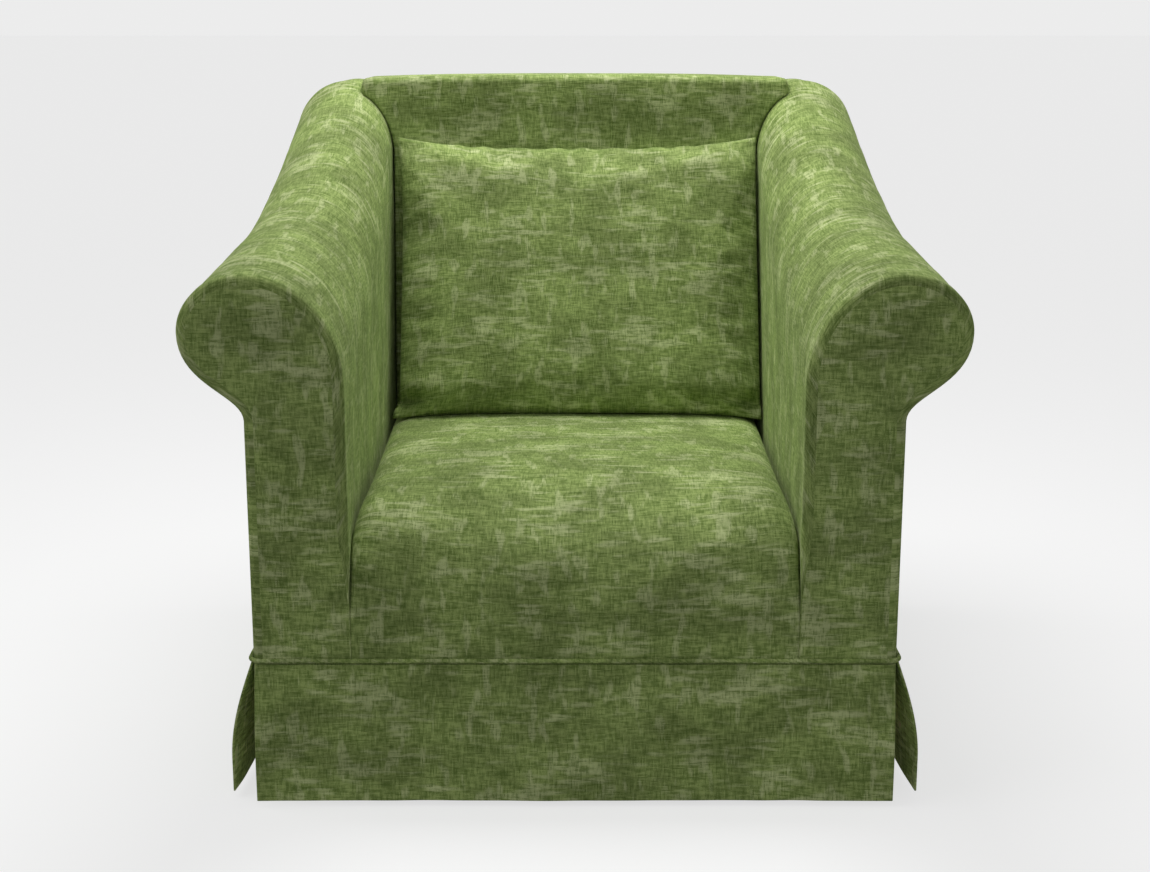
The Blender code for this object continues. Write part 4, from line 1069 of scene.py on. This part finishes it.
def build():
    # The skirts' reverse is the same cloth painted paler, as painted light on their inner faces
    cloth, painted_light_lining = slub_weave("slub_weave"), slub_weave("slub_weave_reverse_painted_light", SKIRT_REVERSE_PAINTED_LIGHT)
    dress(arm_cover("right_arm_cover", 1, cloth), "right_arm_upholstery")
    dress(arm_cover("left_arm_cover", -1, cloth), "left_arm_upholstery")
    dress(seat_cover(cloth), "seat_upholstery")
    dress(back_cover(cloth), "inside_back_upholstery")
    dress(cushion(cloth), "back_cushion")
    dress(welt(cloth), "skirt_welt")
    panel, size, area = outside_back_cover(cloth)
    dress(panel, "outside_back_panel")
    for obj, node, flat in skirts(cloth, painted_light_lining):
        dress(obj, node)
    dress_frame()


# Floor, light and camera


def seen_directly(tree):
    """1 for what the camera sees straight, mirrored or through glass, and 0 for light on other things."""
    path = tree.nodes.new("ShaderNodeLightPath")
    found = path.outputs["Is Camera Ray"]
    for name in ("Is Glossy Ray", "Is Transmission Ray"):
        either = tree.nodes.new("ShaderNodeMath")
        either.operation = "MAXIMUM"
        tree.links.new(found, either.inputs[0])
        tree.links.new(path.outputs[name], either.inputs[1])
        found = either.outputs[0]
    return found


def stage():
    material = bpy.data.materials.new("pale_floor")
    material.use_nodes = True
    tree = material.node_tree
    tree.nodes.remove(tree.nodes["Principled BSDF"])
    dull = tree.nodes.new("ShaderNodeBsdfDiffuse")
    dull.inputs["Color"].default_value = grey(FLOOR_BOUNCE)
    pale = tree.nodes.new("ShaderNodeBsdfDiffuse")
    pale.inputs["Color"].default_value = grey(FLOOR_COLOUR)
    plain = tree.nodes.new("ShaderNodeEmission")
    plain.inputs["Color"].default_value = grey(FLOOR_GLOW)
    seen = tree.nodes.new("ShaderNodeAddShader")
    tree.links.new(pale.outputs[0], seen.inputs[0])
    tree.links.new(plain.outputs[0], seen.inputs[1])
    blend = tree.nodes.new("ShaderNodeMixShader")
    tree.links.new(seen_directly(tree), blend.inputs[0])
    tree.links.new(dull.outputs[0], blend.inputs[1])
    tree.links.new(seen.outputs[0], blend.inputs[2])
    tree.links.new(blend.outputs[0], tree.nodes["Material Output"].inputs["Surface"])
    bpy.ops.mesh.primitive_plane_add(size=400, location=(0, 100, 0))
    floor = bpy.context.object
    floor.name = "floor"
    floor.data.materials.append(material)

    world = bpy.data.worlds.new("studio")
    bpy.context.scene.world = world
    world.use_nodes = True
    tree = world.node_tree
    soft = tree.nodes["Background"]
    soft.inputs["Color"].default_value = grey(1.0)
    soft.inputs["Strength"].default_value = WORLD_LIGHT
    far = tree.nodes.new("ShaderNodeBackground")
    far.inputs["Color"].default_value = grey(BACKDROP)
    far.inputs["Strength"].default_value = 1.0
    blend = tree.nodes.new("ShaderNodeMixShader")
    tree.links.new(seen_directly(tree), blend.inputs[0])
    tree.links.new(soft.outputs[0], blend.inputs[1])
    tree.links.new(far.outputs[0], blend.inputs[2])
    tree.links.new(blend.outputs[0], tree.nodes["World Output"].inputs["Surface"])

    softbox = bpy.data.lights.new("softbox", "AREA")
    softbox.shape = "RECTANGLE"
    softbox.energy = SOFTBOX_WATTS
    softbox.size, softbox.size_y = SOFTBOX_SIZE
    hung = bpy.data.objects.new("softbox", softbox)
    x, depth, z = SOFTBOX_PLACE
    hung.location = (x, FRONT_Y + depth, z)
    hung.rotation_euler = (SOFTBOX_TILT, 0, 0)
    bpy.context.scene.collection.objects.link(hung)
    for name, strength, degrees, towards in SUNS:
        lamp = bpy.data.lights.new(name, "SUN")
        lamp.energy = strength
        lamp.angle = math.radians(degrees)
        obj = bpy.data.objects.new(name, lamp)
        bpy.context.scene.collection.objects.link(obj)
        obj.rotation_euler = Vector(towards).to_track_quat("-Z", "Y").to_euler()


def camera():
    data = bpy.data.cameras.new("camera")
    data.sensor_width = SENSOR
    data.lens = LENS
    obj = bpy.data.objects.new("camera", data)
    x, depth, z = CAMERA_PLACE
    obj.location = (x, FRONT_Y + depth, z)
    obj.rotation_euler = (CAMERA_PITCH, 0, 0)
    bpy.context.scene.collection.objects.link(obj)
    bpy.context.scene.camera = obj


bpy.context.scene.view_settings.view_transform = "Standard"
build()
stage()
camera()
